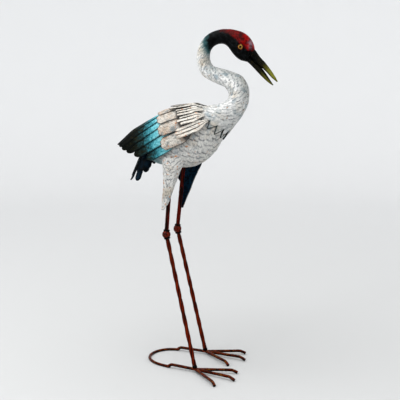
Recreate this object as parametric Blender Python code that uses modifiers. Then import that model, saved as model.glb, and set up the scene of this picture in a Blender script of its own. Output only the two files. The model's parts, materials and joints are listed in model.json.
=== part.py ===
"""A standing crane for the garden, welded from painted sheet steel, bar and rod.

The bird faces +X, its left side is +Y and up is +Z. It stands on bent toe rods and a hoop behind the heels.
Sheet, rods, bar and balls are stock sizes in metres. Places and free outlines are shares of the bird's height.
"""

import math

import bmesh
import bpy
from mathutils import Matrix, Vector
from mathutils.bvhtree import BVHTree

HEIGHT = 1.000          # floor to the top of the bent neck
SHEET = 0.0012          # painted sheet steel of feathers and thighs
GAP = 0.0003            # clearance between pieces that touch
SHARP_ANGLE = math.radians(40)

# legs and feet
BAR = 0.0098            # side of the square bar of the lower legs
BAR_TWIST = 2.25        # whole turns in one lower leg
BAR_STEPS = 36          # sections along the twisted bar
UPPER_ROD = 0.0118      # diameter of the round rod above the knee
KNEE_BALL = 0.0250      # diameter of the knee ball
KNEE_HEIGHT = HEIGHT * 0.4015
KNEE_X = HEIGHT * -0.0255
KNEE_STANCE = HEIGHT * 0.1040    # between the two knees
HIP_STANCE = HEIGHT * 0.0940
HIP_HEIGHT = HEIGHT * 0.6450     # the rods end inside the belly's outline and are cut off at its surface
HIP_X = {"right": -0.0090, "left": 0.0010}
FOOT_STANCE = HEIGHT * 0.1770    # between the two heels
HEEL_X = {"right": 0.0752, "left": 0.0542}
TOE_ROD = 0.0084        # diameter of the toe rods
TOE_RISE = 0.0045       # how far the toes ride above the floor at the heel
TOE_ARCH = 0.0027       # how much higher they are where they bend down
TOE_BEND = 0.0210       # length of the bent tip
TOES = {"1": (29.5, 0.1250), "2": (0.0, 0.1405), "3": (-30.0, 0.1405)}   # turn in degrees and length
FOOT_TURN = {"right": -20.0, "left": -14.5}   # both feet were made on one jig and are turned to the bird's right
HIND_TOE = {"right": (170.0, 0.0915), "left": (175.5, 0.0960)}           # heading in degrees and length
HIND_BEND = 0.0140
HEEL_STUB = 0.0060      # how far the middle toe reaches behind the leg
HOOP_ROD = 0.0078       # diameter of the hoop behind the heels
HOOP_LINE = [(-0.0444, -0.0615), (-0.0680, -0.0465), (-0.0870, -0.0260), (-0.0990, -0.0030), (-0.1037, 0.0210),
             (-0.1010, 0.0465), (-0.0905, 0.0700), (-0.0700, 0.0890)]
ROD_SIDES = 8
SEAT_TILT = math.radians(180.0 / ROD_SIDES)   # turns a rod so that a flat side lies on the floor

# Thighs, each a rolled sheet that is open on its inner side.
# Rows: height, front edge x and distance from the middle plane, rear edge the same, and the outermost distance.
THIGHS = {
    "right": [
        (0.648, 0.0370, 0.0350, -0.0440, 0.0350, 0.0520),
        (0.626, 0.0291, 0.0380, -0.0410, 0.0390, 0.0655),
        (0.608, 0.0238, 0.0410, -0.0385, 0.0420, 0.0690),
        (0.590, 0.0160, 0.0450, -0.0350, 0.0450, 0.0700),
        (0.567, 0.0082, 0.0500, -0.0340, 0.0480, 0.0695),
        (0.543, 0.0004, 0.0550, -0.0342, 0.0500, 0.0685),
        (0.522, -0.0061, 0.0590, -0.0352, 0.0515, 0.0675),
        (0.501, -0.0131, 0.0615, -0.0370, 0.0525, 0.0665),
        (0.4755, -0.0270, 0.0615, -0.0385, 0.0545, 0.0640),
    ],
    "left": [
        (0.648, 0.0640, 0.0350, -0.0280, 0.0350, 0.0520),
        (0.626, 0.0600, 0.0385, -0.0275, 0.0390, 0.0655),
        (0.600, 0.0524, 0.0420, -0.0265, 0.0440, 0.0700),
        (0.562, 0.0325, 0.0470, -0.0240, 0.0505, 0.0695),
        (0.548, 0.0262, 0.0490, -0.0190, 0.0585, 0.0690),
        (0.521, 0.0146, 0.0530, -0.0170, 0.0605, 0.0685),
        (0.496, 0.0022, 0.0570, -0.0160, 0.0612, 0.0665),
        (0.4655, -0.0100, 0.0605, -0.0150, 0.0612, 0.0625),
    ],
}
THIGH_SLANT = {"right": 0.0200, "left": 0.0040}   # how much higher the lower end is at the front
THIGH_SLANT_END = 0.28       # share of the way round where the slanted cut ends

# wings and tail
WING_ROOT = (0.100, 0.745)   # x and z of the shoulder
WING_DROOP = 22.0            # degrees that the wing's axis falls towards the tail
WING_TOP_SHARE = 0.010       # the upper edge's distance from the middle plane
FLIGHT_LIFT = 0.0011         # heights of the three tiers above the wing's own surface
COVERT_LIFT = 0.0068
SCAPULAR_LIFT = 0.0126
SHINGLE = 0.0019             # how far a feather's lower edge stands above its middle
TAIL_CENTRE = (-0.098, 0.632)
TAIL_RADII = (0.022, 0.026)
TAIL_STEP = 0.0024           # every other tail feather lies this much further out

EYE_RADIUS = 0.0074
EYE_RISE = 0.0040
EYE_PLACE = (0.1905, 0.9480)

# The trunk, rump to face: upper point x z, lower point x z, half width, each a share of the height.
TRUNK = [
    (-0.112, 0.638, -0.108, 0.628, 0.005),
    (-0.104, 0.657, -0.092, 0.617, 0.018),
    (-0.088, 0.678, -0.072, 0.608, 0.032),
    (-0.072, 0.696, -0.045, 0.602, 0.045),
    (-0.052, 0.715, -0.010, 0.598, 0.056),
    (-0.030, 0.733, 0.025, 0.5975, 0.063),
    (-0.008, 0.748, 0.060, 0.607, 0.066),
    (0.015, 0.760, 0.090, 0.627, 0.065),
    (0.035, 0.768, 0.113, 0.651, 0.061),
    (0.059, 0.775, 0.137, 0.688, 0.0535),
    (0.085, 0.779, 0.165, 0.7215, 0.046),
    (0.103, 0.7825, 0.183, 0.742, 0.041),
    (0.120, 0.786, 0.197, 0.763, 0.037),
    (0.134, 0.7915, 0.206, 0.782, 0.034),
    (0.145, 0.799, 0.210, 0.800, 0.032),
    (0.1503, 0.809, 0.2105, 0.817, 0.0303),
    (0.149, 0.819, 0.2075, 0.836, 0.030),
    (0.144, 0.828, 0.1965, 0.856, 0.029),
    (0.135, 0.8355, 0.180, 0.8705, 0.027),
    (0.107, 0.8465, 0.139, 0.8843, 0.0235),
    (0.0775, 0.863, 0.1065, 0.893, 0.0215),
    (0.0645, 0.877, 0.0985, 0.900, 0.021),
    (0.0565, 0.8945, 0.094, 0.908, 0.0205),
    (0.0535, 0.912, 0.0925, 0.917, 0.020),
    (0.0545, 0.930, 0.0927, 0.9285, 0.0193),
    (0.059, 0.949, 0.096, 0.9403, 0.019),
    (0.071, 0.969, 0.104, 0.9495, 0.019),
    (0.088, 0.985, 0.116, 0.956, 0.0195),
    (0.108, 0.995, 0.129, 0.9575, 0.020),
    (0.128, 0.999, 0.139, 0.955, 0.0205),
    (0.150, 0.9995, 0.147, 0.949, 0.021),
    (0.171, 0.996, 0.1545, 0.940, 0.022),
    (0.190, 0.990, 0.163, 0.9285, 0.0235),
    (0.205, 0.9805, 0.174, 0.9175, 0.0245),
    (0.216, 0.968, 0.186, 0.9105, 0.024),
    (0.223, 0.954, 0.196, 0.9078, 0.021),
    (0.226, 0.941, 0.205, 0.9055, 0.0165),
]
BREAST_SEAM = 9         # station where the neck's sheet meets the body's
NAPE_SEAM = 30          # station where the head meets the neck
TRUNK_SIDES = 20
HEAD_SIDES = 12
TEETH = 0.0050          # depth of the saw teeth where the neck's sheet meets the body's

# The two halves of the bill, root to tip: upper point x z, lower point x z, half width, as shares of the height.
UPPER_BILL = [
    (0.2262, 0.9400, 0.2150, 0.9190, 0.0128),
    (0.2415, 0.9196, 0.2300, 0.9050, 0.0108),
    (0.2563, 0.9040, 0.2435, 0.8945, 0.0092),
    (0.2710, 0.8857, 0.2600, 0.8778, 0.0074),
    (0.2850, 0.8660, 0.2765, 0.8612, 0.0052),
    (0.2945, 0.8500, 0.2905, 0.8495, 0.0022),
]
LOWER_BILL = [
    (0.2140, 0.9175, 0.2052, 0.9060, 0.0120),
    (0.2290, 0.9030, 0.2183, 0.8942, 0.0100),
    (0.2420, 0.8930, 0.2331, 0.8792, 0.0084),
    (0.2560, 0.8775, 0.2500, 0.8625, 0.0066),
    (0.2690, 0.8590, 0.2650, 0.8490, 0.0046),
    (0.2815, 0.8405, 0.2785, 0.8395, 0.0020),
]

# The wing's own surface, as tables of (distance from the shoulder, size).
WING_UPPER = [(0.0, 0.034), (0.042, 0.050), (0.090, 0.0635), (0.128, 0.067), (0.184, 0.062), (0.239, 0.055),
              (0.299, 0.033), (0.330, 0.020)]
WING_LOWER = [(0.0, -0.008), (0.039, -0.020), (0.083, -0.037), (0.128, -0.037), (0.160, -0.034),
              (0.200, -0.032), (0.258, -0.027), (0.330, -0.014)]
WING_OUT = [(0.0, 0.054), (0.040, 0.064), (0.083, 0.070), (0.128, 0.070), (0.160, 0.066), (0.200, 0.058),
            (0.258, 0.048), (0.330, 0.034)]

# Feathers of one wing, upper to lower: root distance, root share, tip distance, tip share, half width.
# A share runs over the wing from 0 at its upper edge to 1 at its lower edge.
FLIGHT = [
    (0.098, 0.10, 0.299, 0.22, 0.0135),
    (0.098, 0.27, 0.292, 0.43, 0.0135),
    (0.098, 0.44, 0.284, 0.62, 0.0135),
    (0.098, 0.61, 0.271, 0.77, 0.0135),
    (0.098, 0.78, 0.250, 0.93, 0.0135),
    (0.098, 0.95, 0.214, 1.08, 0.0130),
]
COVERTS = [
    (0.050, 0.13, 0.143, 0.14, 0.0170),
    (0.046, 0.37, 0.146, 0.39, 0.0190),
    (0.042, 0.63, 0.149, 0.66, 0.0190),
    (0.040, 0.90, 0.153, 0.92, 0.0190),
]
SCAPULARS = [
    (0.010, 0.18, 0.106, 0.18, 0.0120),
    (0.006, 0.44, 0.090, 0.42, 0.0126),
    (0.004, 0.70, 0.087, 0.62, 0.0135),
    (0.000, 0.96, 0.098, 0.82, 0.0140),
]
BLADE_START = 0.38      # share of its length where a feather has its full width
ROOT_LIFT = 0.35        # share of its tier's height that a feather has at its root
LIFT_END = 0.30         # share of its length where it has the whole height
SLIT_START = 0.34       # share of its length where a scapular's slit starts
SLIT_WIDTH = 0.10       # share of its half width
# Tail feathers: angle round the rump in degrees (180 is straight back), half width, length on the right and the left.
TAIL = [
    (180, 0.0095, 0.080, 0.000),
    (141, 0.0090, 0.063, 0.060),
    (99, 0.0095, 0.076, 0.046),
    (68, 0.0095, 0.050, 0.031),
]

PAINTS = {
    "white": ((0.72, 0.70, 0.65, 1.0), 0.45, 0.25),
    "black": ((0.015, 0.018, 0.020, 1.0), 0.35, 0.25),
    "teal": ((0.10, 0.42, 0.47, 1.0), 0.35, 0.35),
    "navy": ((0.010, 0.025, 0.040, 1.0), 0.40, 0.25),
    "rust": ((0.20, 0.035, 0.012, 1.0), 0.45, 0.35),
    "olive": ((0.22, 0.21, 0.03, 1.0), 0.40, 0.20),
    "amber": ((0.55, 0.36, 0.08, 1.0), 0.20, 0.10),
}


def clear_scene():
    for thing in list(bpy.data.objects):
        bpy.data.objects.remove(thing)


def paint(name):
    """A Principled material in one of the bird's paints."""
    if name in bpy.data.materials:
        return bpy.data.materials[name]
    colour, roughness, metallic = PAINTS[name]
    material = bpy.data.materials.new(name)
    material.use_nodes = True
    shader = material.node_tree.nodes["Principled BSDF"]
    shader.inputs["Base Color"].default_value = colour
    shader.inputs["Roughness"].default_value = roughness
    shader.inputs["Metallic"].default_value = metallic
    material.diffuse_color = colour
    return material


def add_piece(name, mesh, colour):
    piece = bpy.data.objects.new(name, mesh)
    piece.data.materials.append(paint(colour))
    PIECES.objects.link(piece)
    piece.parent = ORIGIN
    return piece


def add_cutter(name, mesh):
    cutter = bpy.data.objects.new(name, mesh)
    CUTTERS.objects.link(cutter)
    cutter.parent = ORIGIN
    cutter.hide_render = True
    cutter.display_type = "WIRE"
    return cutter


def shade_round(mesh):
    """Smooth shading that keeps the edges sharp where faces meet at a steep angle."""
    mesh.shade_smooth()
    mesh.set_sharp_from_angle(angle=SHARP_ANGLE)


def mesh_from(name, build, smooth=False):
    """A mesh datablock filled by build(bm), with its faces pointing outwards."""
    bm = bmesh.new()
    build(bm)
    bmesh.ops.recalc_face_normals(bm, faces=bm.faces)
    mesh = bpy.data.meshes.new(name)
    bm.to_mesh(mesh)
    bm.free()
    if smooth:
        shade_round(mesh)
    return mesh


def cut(piece, cutter):
    """Takes the cutter's shape away from the piece."""
    boolean = piece.modifiers.new("cut_by_" + cutter.name, "BOOLEAN")
    boolean.operation = "DIFFERENCE"
    boolean.solver = "EXACT"
    boolean.object = cutter


def look_up(table, at):
    """The size at a distance, eased between the rows of a table."""
    for (start, low), (end, high) in zip(table, table[1:]):
        if at <= end:
            share = max(0.0, (at - start) / (end - start))
            return low + (high - low) * share
    return table[-1][1]


def smooth_step(share):
    share = min(1.0, max(0.0, share))
    return share * share * (3.0 - 2.0 * share)


def spline(rows, at):
    """Catmull-Rom interpolation of the rows of a table, at a row number that may be a fraction."""
    last = len(rows) - 1
    index = min(int(at), last - 1)
    share = at - index
    before, start, end, after = (rows[min(max(index + step, 0), last)] for step in (-1, 0, 1, 2))
    result = []
    for a, b, c, d in zip(before, start, end, after):
        result.append(b + 0.5 * share * (c - a + share * (2 * a - 5 * b + 4 * c - d + share * (3 * (b - c) + d - a))))
    return result


def ring_points(row, sides, grow=0.0):
    """One elliptical section of a trunk or a bill, from its row of shares."""
    upper = Vector((row[0], 0.0, row[1])) * HEIGHT
    lower = Vector((row[2], 0.0, row[3])) * HEIGHT
    centre = (upper + lower) / 2
    depth = upper - centre
    depth *= 1.0 + grow / depth.length
    width = row[4] * HEIGHT + grow
    points = []
    for side in range(sides):
        angle = 2 * math.pi * side / sides
        points.append(centre + depth * math.cos(angle) + Vector((0.0, width * math.sin(angle), 0.0)))
    return points


def loft(bm, rings):
    """Skins a list of rings that have the same number of points. Each end is a fan round its middle."""
    loops = [[bm.verts.new(point) for point in ring] for ring in rings]
    sides = len(loops[0])
    for first, second in zip(loops, loops[1:]):
        for side in range(sides):
            after = (side + 1) % sides
            bm.faces.new((first[side], first[after], second[after], second[side]))
    for loop in (loops[0], loops[-1]):
        middle = bm.verts.new(sum((vert.co for vert in loop), Vector()) / sides)
        for side in range(sides):
            bm.faces.new((loop[side], loop[(side + 1) % sides], middle))


def trunk_way(station):
    """The unit direction of the trunk at a station, from rump to face."""
    ends = [sum(ring_points(spline(TRUNK, place), 4), Vector()) for place in (station - 0.5, station + 0.5)]
    return (ends[1] - ends[0]).normalized()


def trunk_mesh(name, first, last, per_span, sides, grow=0.0, start=None, end=None):
    """The trunk between two stations. start and end are (shift, depth of teeth) at a seam with a neighbour."""
    steps = round((last - first) * per_span)
    places = [first + (last - first) * step / steps for step in range(steps + 1)]
    rings = [ring_points(spline(TRUNK, place), sides, grow) for place in places]
    for index, seam in ((0, start), (-1, end)):
        if seam:
            shift, teeth = seam
            way = trunk_way(places[index])
            rings[index] = [point + way * (shift + teeth * (side % 2 - 0.5)) for side, point in enumerate(rings[index])]
    return mesh_from(name, lambda bm: loft(bm, rings), smooth=True)


def add_trunk():
    """The body shell, the neck with its breast, and the head."""
    last = len(TRUNK) - 1
    half = GAP / 2
    body = trunk_mesh("body_shell", 0, BREAST_SEAM, 2, TRUNK_SIDES, end=(-half, TEETH))
    neck = trunk_mesh("neck", BREAST_SEAM, NAPE_SEAM, 1.24, TRUNK_SIDES, start=(half, TEETH), end=(-half, 0.0))
    head = trunk_mesh("head", NAPE_SEAM, last, 2, HEAD_SIDES, start=(half, 0.0))
    add_piece("body_shell", body, "white")
    add_piece("neck", neck, "white")
    add_piece("head", head, "black")


def add_bill(name, rows, sides=10):
    """One half of the bill, a tapered bar whose root butts against the face."""
    face = ring_points(TRUNK[-1], 4)
    middle = sum(face, Vector()) / 4
    outward = (face[0] - middle).cross(face[1] - middle).normalized()
    outward *= 1 if outward.x > 0 else -1
    rings = [ring_points(row, sides) for row in rows]
    rings[0] = [point - outward * ((point - middle).dot(outward) - GAP) for point in rings[0]]
    add_piece(name, mesh_from(name, lambda bm: loft(bm, rings), smooth=True), "olive")


def add_eye(name, side):
    """A low glass dome set on the side of the head."""
    def build(bm):
        bmesh.ops.create_uvsphere(bm, u_segments=12, v_segments=8, radius=EYE_RADIUS)
        bmesh.ops.bisect_plane(bm, geom=bm.verts[:] + bm.edges[:] + bm.faces[:], plane_co=(0, 0, 0),
                               plane_no=(0, 0, 1), clear_inner=True)
        rim = [edge for edge in bm.edges if edge.is_boundary]
        bmesh.ops.holes_fill(bm, edges=rim, sides=0)
        bmesh.ops.scale(bm, vec=(1, 1, EYE_RISE / EYE_RADIUS), verts=bm.verts)

    skull = BVHTree.FromObject(bpy.data.objects["head"], bpy.context.evaluated_depsgraph_get())
    far_out = Vector((EYE_PLACE[0] * HEIGHT, side * HEIGHT, EYE_PLACE[1] * HEIGHT))
    hit, normal, _, _ = skull.ray_cast(far_out, Vector((0, -side, 0)))
    eye = add_piece(name, mesh_from(name, build, smooth=True), "amber")
    turn = Vector((0, 0, 1)).rotation_difference(normal).to_matrix().to_4x4()
    eye.matrix_world = Matrix.Translation(hit + normal * GAP) @ turn


def add_rod(name, points, diameter, grow=None):
    """A round rod along the points. With grow it is a fatter cutter instead of a piece."""
    curve = bpy.data.curves.new(name, "CURVE")
    curve.dimensions = "3D"
    curve.twist_mode = "Z_UP"
    curve.bevel_depth = (diameter / 2 + (grow or 0.0)) / math.cos(math.pi / ROD_SIDES)
    curve.bevel_resolution = (ROD_SIDES - 4) // 2
    curve.use_fill_caps = True
    line = curve.splines.new("POLY")
    line.points.add(len(points) - 1)
    for place, point in zip(line.points, points):
        place.co = (*point, 1.0)
        place.tilt = SEAT_TILT
    holder = bpy.data.objects.new(name + "_line", curve)
    bpy.context.scene.collection.objects.link(holder)
    bpy.context.view_layer.update()
    mesh = bpy.data.meshes.new_from_object(holder.evaluated_get(bpy.context.evaluated_depsgraph_get()))
    mesh.name = name
    bpy.data.objects.remove(holder)
    bm = bmesh.new()
    bm.from_mesh(mesh)
    bmesh.ops.remove_doubles(bm, verts=bm.verts, dist=0.00005)
    bmesh.ops.recalc_face_normals(bm, faces=bm.faces)
    bm.to_mesh(mesh)
    bm.free()
    shade_round(mesh)
    mesh.materials.clear()
    return add_piece(name, mesh, "rust") if grow is None else add_cutter(name, mesh)


def side_sign(side):
    return -1 if side == "right" else 1


def knee_place(side):
    return Vector((KNEE_X, side_sign(side) * KNEE_STANCE / 2, KNEE_HEIGHT))


def heel_place(side):
    return Vector((HEEL_X[side] * HEIGHT, side_sign(side) * FOOT_STANCE / 2, TOE_RISE + TOE_ROD / 2))


def add_knee(side):
    """The round ball between the two rods of a leg, and the fatter ball that hollows the rods' ends."""
    def ball(radius):
        def build(bm):
            bmesh.ops.create_uvsphere(bm, u_segments=12, v_segments=8, radius=radius)
        return build

    name = f"knee_ball_{side}"
    knee = add_piece(name, mesh_from(name, ball(KNEE_BALL / 2), smooth=True), "rust")
    cutter = add_cutter(name + "_room", mesh_from(name + "_room", ball(KNEE_BALL / 2 + GAP)))
    for thing in (knee, cutter):
        thing.location = knee_place(side)
    return cutter


def add_upper_leg(side, knee_room):
    """The round rod from the belly to the knee, inside the thigh."""
    hip = Vector((HIP_X[side] * HEIGHT, side_sign(side) * HIP_STANCE / 2, HIP_HEIGHT))
    rod = add_rod(f"upper_leg_{side}", [hip, knee_place(side)], UPPER_ROD)
    cut(rod, knee_room)
    cut(rod, bpy.data.objects["belly_room"])


def add_lower_leg(side, knee_room):
    """A square bar, twisted along its length, from the knee to the heel."""
    knee, heel = knee_place(side), heel_place(side)
    floor_stop = heel.z + TOE_ROD / 2 + GAP
    way = (heel - knee).normalized()
    foot = knee + way * ((floor_stop - knee.z) / way.z)
    across = Vector((0, 1, 0)).cross(way).normalized()
    sideways = way.cross(across)
    corner = BAR / math.sqrt(2)

    def build(bm):
        rings = []
        for step in range(BAR_STEPS + 1):
            share = step / BAR_STEPS
            centre = knee.lerp(foot, share)
            ring = []
            for quarter in range(4):
                angle = 2 * math.pi * (BAR_TWIST * share + quarter / 4)
                point = centre + (across * math.cos(angle) + sideways * math.sin(angle)) * corner
                if step == BAR_STEPS:
                    point += way * ((floor_stop - point.z) / way.z)
                ring.append(point)
            rings.append(ring)
        loft(bm, rings)

    name = f"lower_leg_{side}"
    leg = add_piece(name, mesh_from(name, build), "rust")
    cut(leg, knee_room)


def toe_points(start, heading, length, bend):
    """A toe's centre line: it rises a little from the heel and is bent down to the floor at its tip."""
    way = Vector((math.cos(math.radians(heading)), math.sin(math.radians(heading)), 0.0))
    level = length * HEIGHT - bend
    rest = TOE_ROD / 2
    arch = Vector((0, 0, TOE_ARCH))
    points = [start.copy(), start + way * level * 0.5 + arch / 2, start + way * (level - 0.2 * bend) + arch]
    for share in (0.15, 0.4, 0.7, 1.0):
        drop = (start.z + arch.z - rest) * smooth_step(share / 0.7)
        points.append(start + arch + way * (level + bend * share) - Vector((0, 0, drop)))
    return points


def add_foot(side):
    """Three front toes and a hind toe that meet under the leg. Gives back the hind toe's tip and its cutter."""
    heel = heel_place(side)
    lines = {}
    for number, (spread, length) in TOES.items():
        lines[number] = toe_points(heel, FOOT_TURN[side] + spread, length, TOE_BEND)
    lines["hind"] = toe_points(heel, *HIND_TOE[side], HIND_BEND)
    lines["2"][0] -= (lines["2"][1] - heel).normalized() * HEEL_STUB
    lines["hind"][0] += (lines["hind"][1] - heel).normalized() * HEEL_STUB / 2
    room = add_rod(f"toe_2_{side}_room", lines["2"], TOE_ROD, grow=GAP)
    for number, line in lines.items():
        toe = add_rod(f"toe_{number}_{side}", line, TOE_ROD)
        if number != "2":
            cut(toe, room)
    return lines["hind"], add_rod(f"toe_hind_{side}_room", lines["hind"], TOE_ROD, grow=GAP)


def add_hoop(ends):
    """A bent rod that lies on the floor and joins the tips of the two hind toes."""
    bends = [Vector((x * HEIGHT, y * HEIGHT, HOOP_ROD / 2)) for x, y in HOOP_LINE]
    starts = []
    for line, _ in ends:
        start = line[-1].lerp(line[-2], 0.3)
        start.z = HOOP_ROD / 2
        starts.append(start)
    bends = [starts[0]] + bends + [starts[1]]
    rows = [tuple(bend) for bend in bends]
    steps = 2 * (len(rows) - 1)
    points = [Vector(spline(rows, (len(rows) - 1) * step / steps)) for step in range(steps + 1)]
    hoop = add_rod("heel_hoop", points, HOOP_ROD)
    for _, room in ends:
        cut(hoop, room)


def add_thigh(side):
    """A thigh: sheet rolled round the upper leg and welded to the flank."""
    rows = THIGHS[side]
    top, foot = rows[0][0], rows[-1][0]
    columns = [[(row[0], row[which]) for row in reversed(rows)] for which in range(1, 6)]

    def build(bm):
        bmesh.ops.create_grid(bm, x_segments=10, y_segments=8, size=0.5)
        for vert in bm.verts:
            across, share = vert.co.x + 0.5, 0.5 - vert.co.y
            low = foot + THIGH_SLANT[side] * max(0.0, 1 - across / THIGH_SLANT_END)
            z = top + (low - top) * share
            front_x, front_y, rear_x, rear_y, out = (look_up(column, z) for column in columns)
            x = front_x + (rear_x - front_x) * (0.5 - 0.5 * math.cos(math.pi * across))
            bow = math.sin(math.pi * across) ** 0.9
            y = front_y + (rear_y - front_y) * across + (out - (front_y + rear_y) / 2) * bow
            vert.co = Vector((x, side_sign(side) * y, z)) * HEIGHT

    thigh = add_piece(f"thigh_{side}", mesh_from(f"thigh_{side}", build), "white")
    wall = thigh.modifiers.new("wall", "SOLIDIFY")
    wall.thickness = SHEET
    wall.offset = 0.0
    cut(thigh, bpy.data.objects["belly_room"])


def wing_point(side, along, share):
    """A point of the wing's own surface: a quarter of an ellipse that drops from the back to the flank."""
    droop = math.radians(WING_DROOP)
    axis = Vector((-math.cos(droop), 0.0, -math.sin(droop)))
    rise = Vector((-math.sin(droop), 0.0, math.cos(droop)))
    top, bottom = look_up(WING_UPPER, along), look_up(WING_LOWER, along)
    out = look_up(WING_OUT, along)
    angle = share * math.pi / 2
    height = top - (top - bottom) * (1 - math.cos(angle))
    distance = WING_TOP_SHARE + (out - WING_TOP_SHARE) * math.sin(angle)
    shoulder = Vector((WING_ROOT[0], 0.0, WING_ROOT[1]))
    place = shoulder + axis * along + rise * height
    place.y = side_sign(side) * distance
    return place * HEIGHT


def tail_point(side, angle, drop):
    """A point of the tail's skirt, which flares and sweeps back as it drops from the rump."""
    turn = math.radians(angle)
    x = TAIL_CENTRE[0] - 0.25 * drop + (TAIL_RADII[0] + 0.20 * drop) * math.cos(turn)
    y = (TAIL_RADII[1] + 0.15 * drop) * math.sin(turn)
    return Vector((x, side_sign(side) * y, TAIL_CENTRE[1] - drop)) * HEIGHT


def surface_frame(surface, first, second, step_first, step_second):
    """Point, both slopes and unit normal of a surface that is given by two numbers."""
    place = surface(first, second)
    slope_a = (surface(first + step_first, second) - surface(first - step_first, second)) / (2 * step_first)
    slope_b = (surface(first, second + step_second) - surface(first, second - step_second)) / (2 * step_second)
    return place, slope_a, slope_b, slope_a.cross(slope_b).normalized()


def feather_width(share, root_share):
    """Half width along a feather: a narrow root that swells to a full blade."""
    return root_share + (1 - root_share) * smooth_step(share / BLADE_START)


def add_feather(name, colour, surface, root, tip, half_width, lift, steps, outside, body,
                root_share=0.30, shingle=SHINGLE, along=6, across=3, slit=False):
    """A feather cut from sheet that follows a surface from root to tip, with a lowered root and a round tip.

    A slit parts the blade into two leaves that stay joined at the root.
    """
    def build(bm):
        bmesh.ops.create_grid(bm, x_segments=along, y_segments=5 if slit else across, size=0.5)
        if slit:
            opened = [face for face in bm.faces
                      if abs(face.calc_center_median().y) < 0.05 and face.calc_center_median().x + 0.5 > SLIT_START]
            bmesh.ops.delete(bm, geom=opened, context="FACES")
        length = (surface(*tip) - surface(*root)).length
        for vert in bm.verts:
            share, edge = vert.co.x + 0.5, 2 * vert.co.y
            round_at = edge
            if slit:
                round_at = (abs(edge) - 0.6) / 0.4
                edge = math.copysign(SLIT_WIDTH, edge) if abs(edge) < 0.3 else edge
            width = half_width * HEIGHT * feather_width(share, root_share)
            rounding = width * (0.5 if slit else 1.0) * (1 - math.sqrt(1 - (0.94 * round_at) ** 2))
            share_on = share * (1 - rounding * smooth_step(share) / length)
            first = root[0] + (tip[0] - root[0]) * share_on
            second = root[1] + (tip[1] - root[1]) * share_on
            _, slope_a, slope_b, normal = surface_frame(surface, first, second, *steps)
            forward = (slope_a * (tip[0] - root[0]) + slope_b * (tip[1] - root[1])).normalized()
            sideways = normal.cross(forward) * (width * edge)
            aa, ab, bb = slope_a.dot(slope_a), slope_a.dot(slope_b), slope_b.dot(slope_b)
            da, db = slope_a.dot(sideways), slope_b.dot(sideways)
            det = aa * bb - ab * ab
            moved_first = first + (bb * da - ab * db) / det
            moved_second = second + (aa * db - ab * da) / det
            place, _, _, normal = surface_frame(surface, moved_first, moved_second, *steps)
            raised = smooth_step(share / LIFT_END)
            rise = lift * (ROOT_LIFT + (1 - ROOT_LIFT) * raised) + shingle * edge * raised
            place = place + normal * (rise * outside)
            near, out, _, distance = body.find_nearest(place)
            if (place - near).dot(out) < SHEET or distance < SHEET:
                place = near + out * SHEET
            vert.co = place

    feather = add_piece(name, mesh_from(name, build), colour)
    wall = feather.modifiers.new("wall", "SOLIDIFY")
    wall.thickness = SHEET
    wall.offset = 0.0


def add_wing(side, body):
    """Three tiers of feathers that overlap like shingles, each tier over the roots of the one behind it."""
    def surface(along, share):
        return wing_point(side, along, share)

    outside = -side_sign(side)
    tiers = (("flight_feather", "teal", FLIGHT, FLIGHT_LIFT), ("covert", "white", COVERTS, COVERT_LIFT),
             ("scapular", "white", SCAPULARS, SCAPULAR_LIFT))
    for kind, colour, rows, lift in tiers:
        for number, (root_u, root_t, tip_u, tip_t, half_width) in enumerate(rows, 1):
            slit = kind == "scapular" and number < len(rows)
            add_feather(f"{kind}_{number}_{side}", colour, surface, (root_u, root_t), (tip_u, tip_t), half_width,
                        lift, (0.001, 0.01), outside, body, slit=slit)


def add_tail(body):
    """Drooping feathers round the rump: one straight back and three on each side."""
    for number, (angle, half_width, *lengths) in enumerate(TAIL):
        for side, length in zip(("right", "left"), lengths):
            if not length:
                continue

            def surface(turn, drop):
                return tail_point(side, turn, drop)

            name = "tail_feather_middle" if angle == 180 else f"tail_feather_{number}_{side}"
            outside = -side_sign(side)
            add_feather(name, "navy", surface, (angle, 0.001), (angle, length), half_width,
                        TAIL_STEP * (number % 2), (0.5, 0.001),
                        outside, body, root_share=0.45, shingle=0.0, along=4)


def centre_on_floor():
    """Moves the whole bird so that the origin lies under the middle of its box."""
    bpy.context.view_layer.update()
    graph = bpy.context.evaluated_depsgraph_get()
    corners = []
    for piece in (thing for thing in PIECES.objects if thing.type == "MESH"):
        shown = piece.evaluated_get(graph)
        corners += [shown.matrix_world @ vert.co for vert in shown.to_mesh().vertices]
        shown.to_mesh_clear()
    for axis in (0, 1):
        values = [corner[axis] for corner in corners]
        ORIGIN.location[axis] = -(min(values) + max(values)) / 2
    ORIGIN.location.z = -min(corner.z for corner in corners)


clear_scene()
PIECES = bpy.data.collections.new("garden_crane")
CUTTERS = bpy.data.collections.new("cutters")
for collection in (PIECES, CUTTERS):
    bpy.context.scene.collection.children.link(collection)
ORIGIN = bpy.data.objects.new("crane", None)
PIECES.objects.link(ORIGIN)

add_trunk()
flank = trunk_mesh("flank", 0, BREAST_SEAM * 2, 2, TRUNK_SIDES)
flank_room = BVHTree.FromPolygons([vert.co for vert in flank.vertices], [face.vertices for face in flank.polygons])
add_cutter("belly_room", trunk_mesh("belly_room", 0, BREAST_SEAM + 2, 2, TRUNK_SIDES, grow=GAP))
add_bill("upper_bill", UPPER_BILL)
add_bill("lower_bill", LOWER_BILL)
hind_ends = []
for side in ("right", "left"):
    add_eye(f"eye_{side}", side_sign(side))
    add_thigh(side)
    knee_room = add_knee(side)
    add_upper_leg(side, knee_room)
    add_lower_leg(side, knee_room)
    hind_ends.append(add_foot(side))
    add_wing(side, flank_room)
add_hoop(hind_ends)
add_tail(flank_room)
centre_on_floor()
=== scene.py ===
# %% [markdown]
# # A painted metal crane for the garden
# The bird stands one metre tall. It is cut, hammered and welded from sheet steel, square bar and round rod,
# and painted by hand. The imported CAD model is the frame: every piece below sits where the frame has it. We
# work in the bird's own measuring frame, where +X is the way the bill points and +Z is up.

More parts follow.
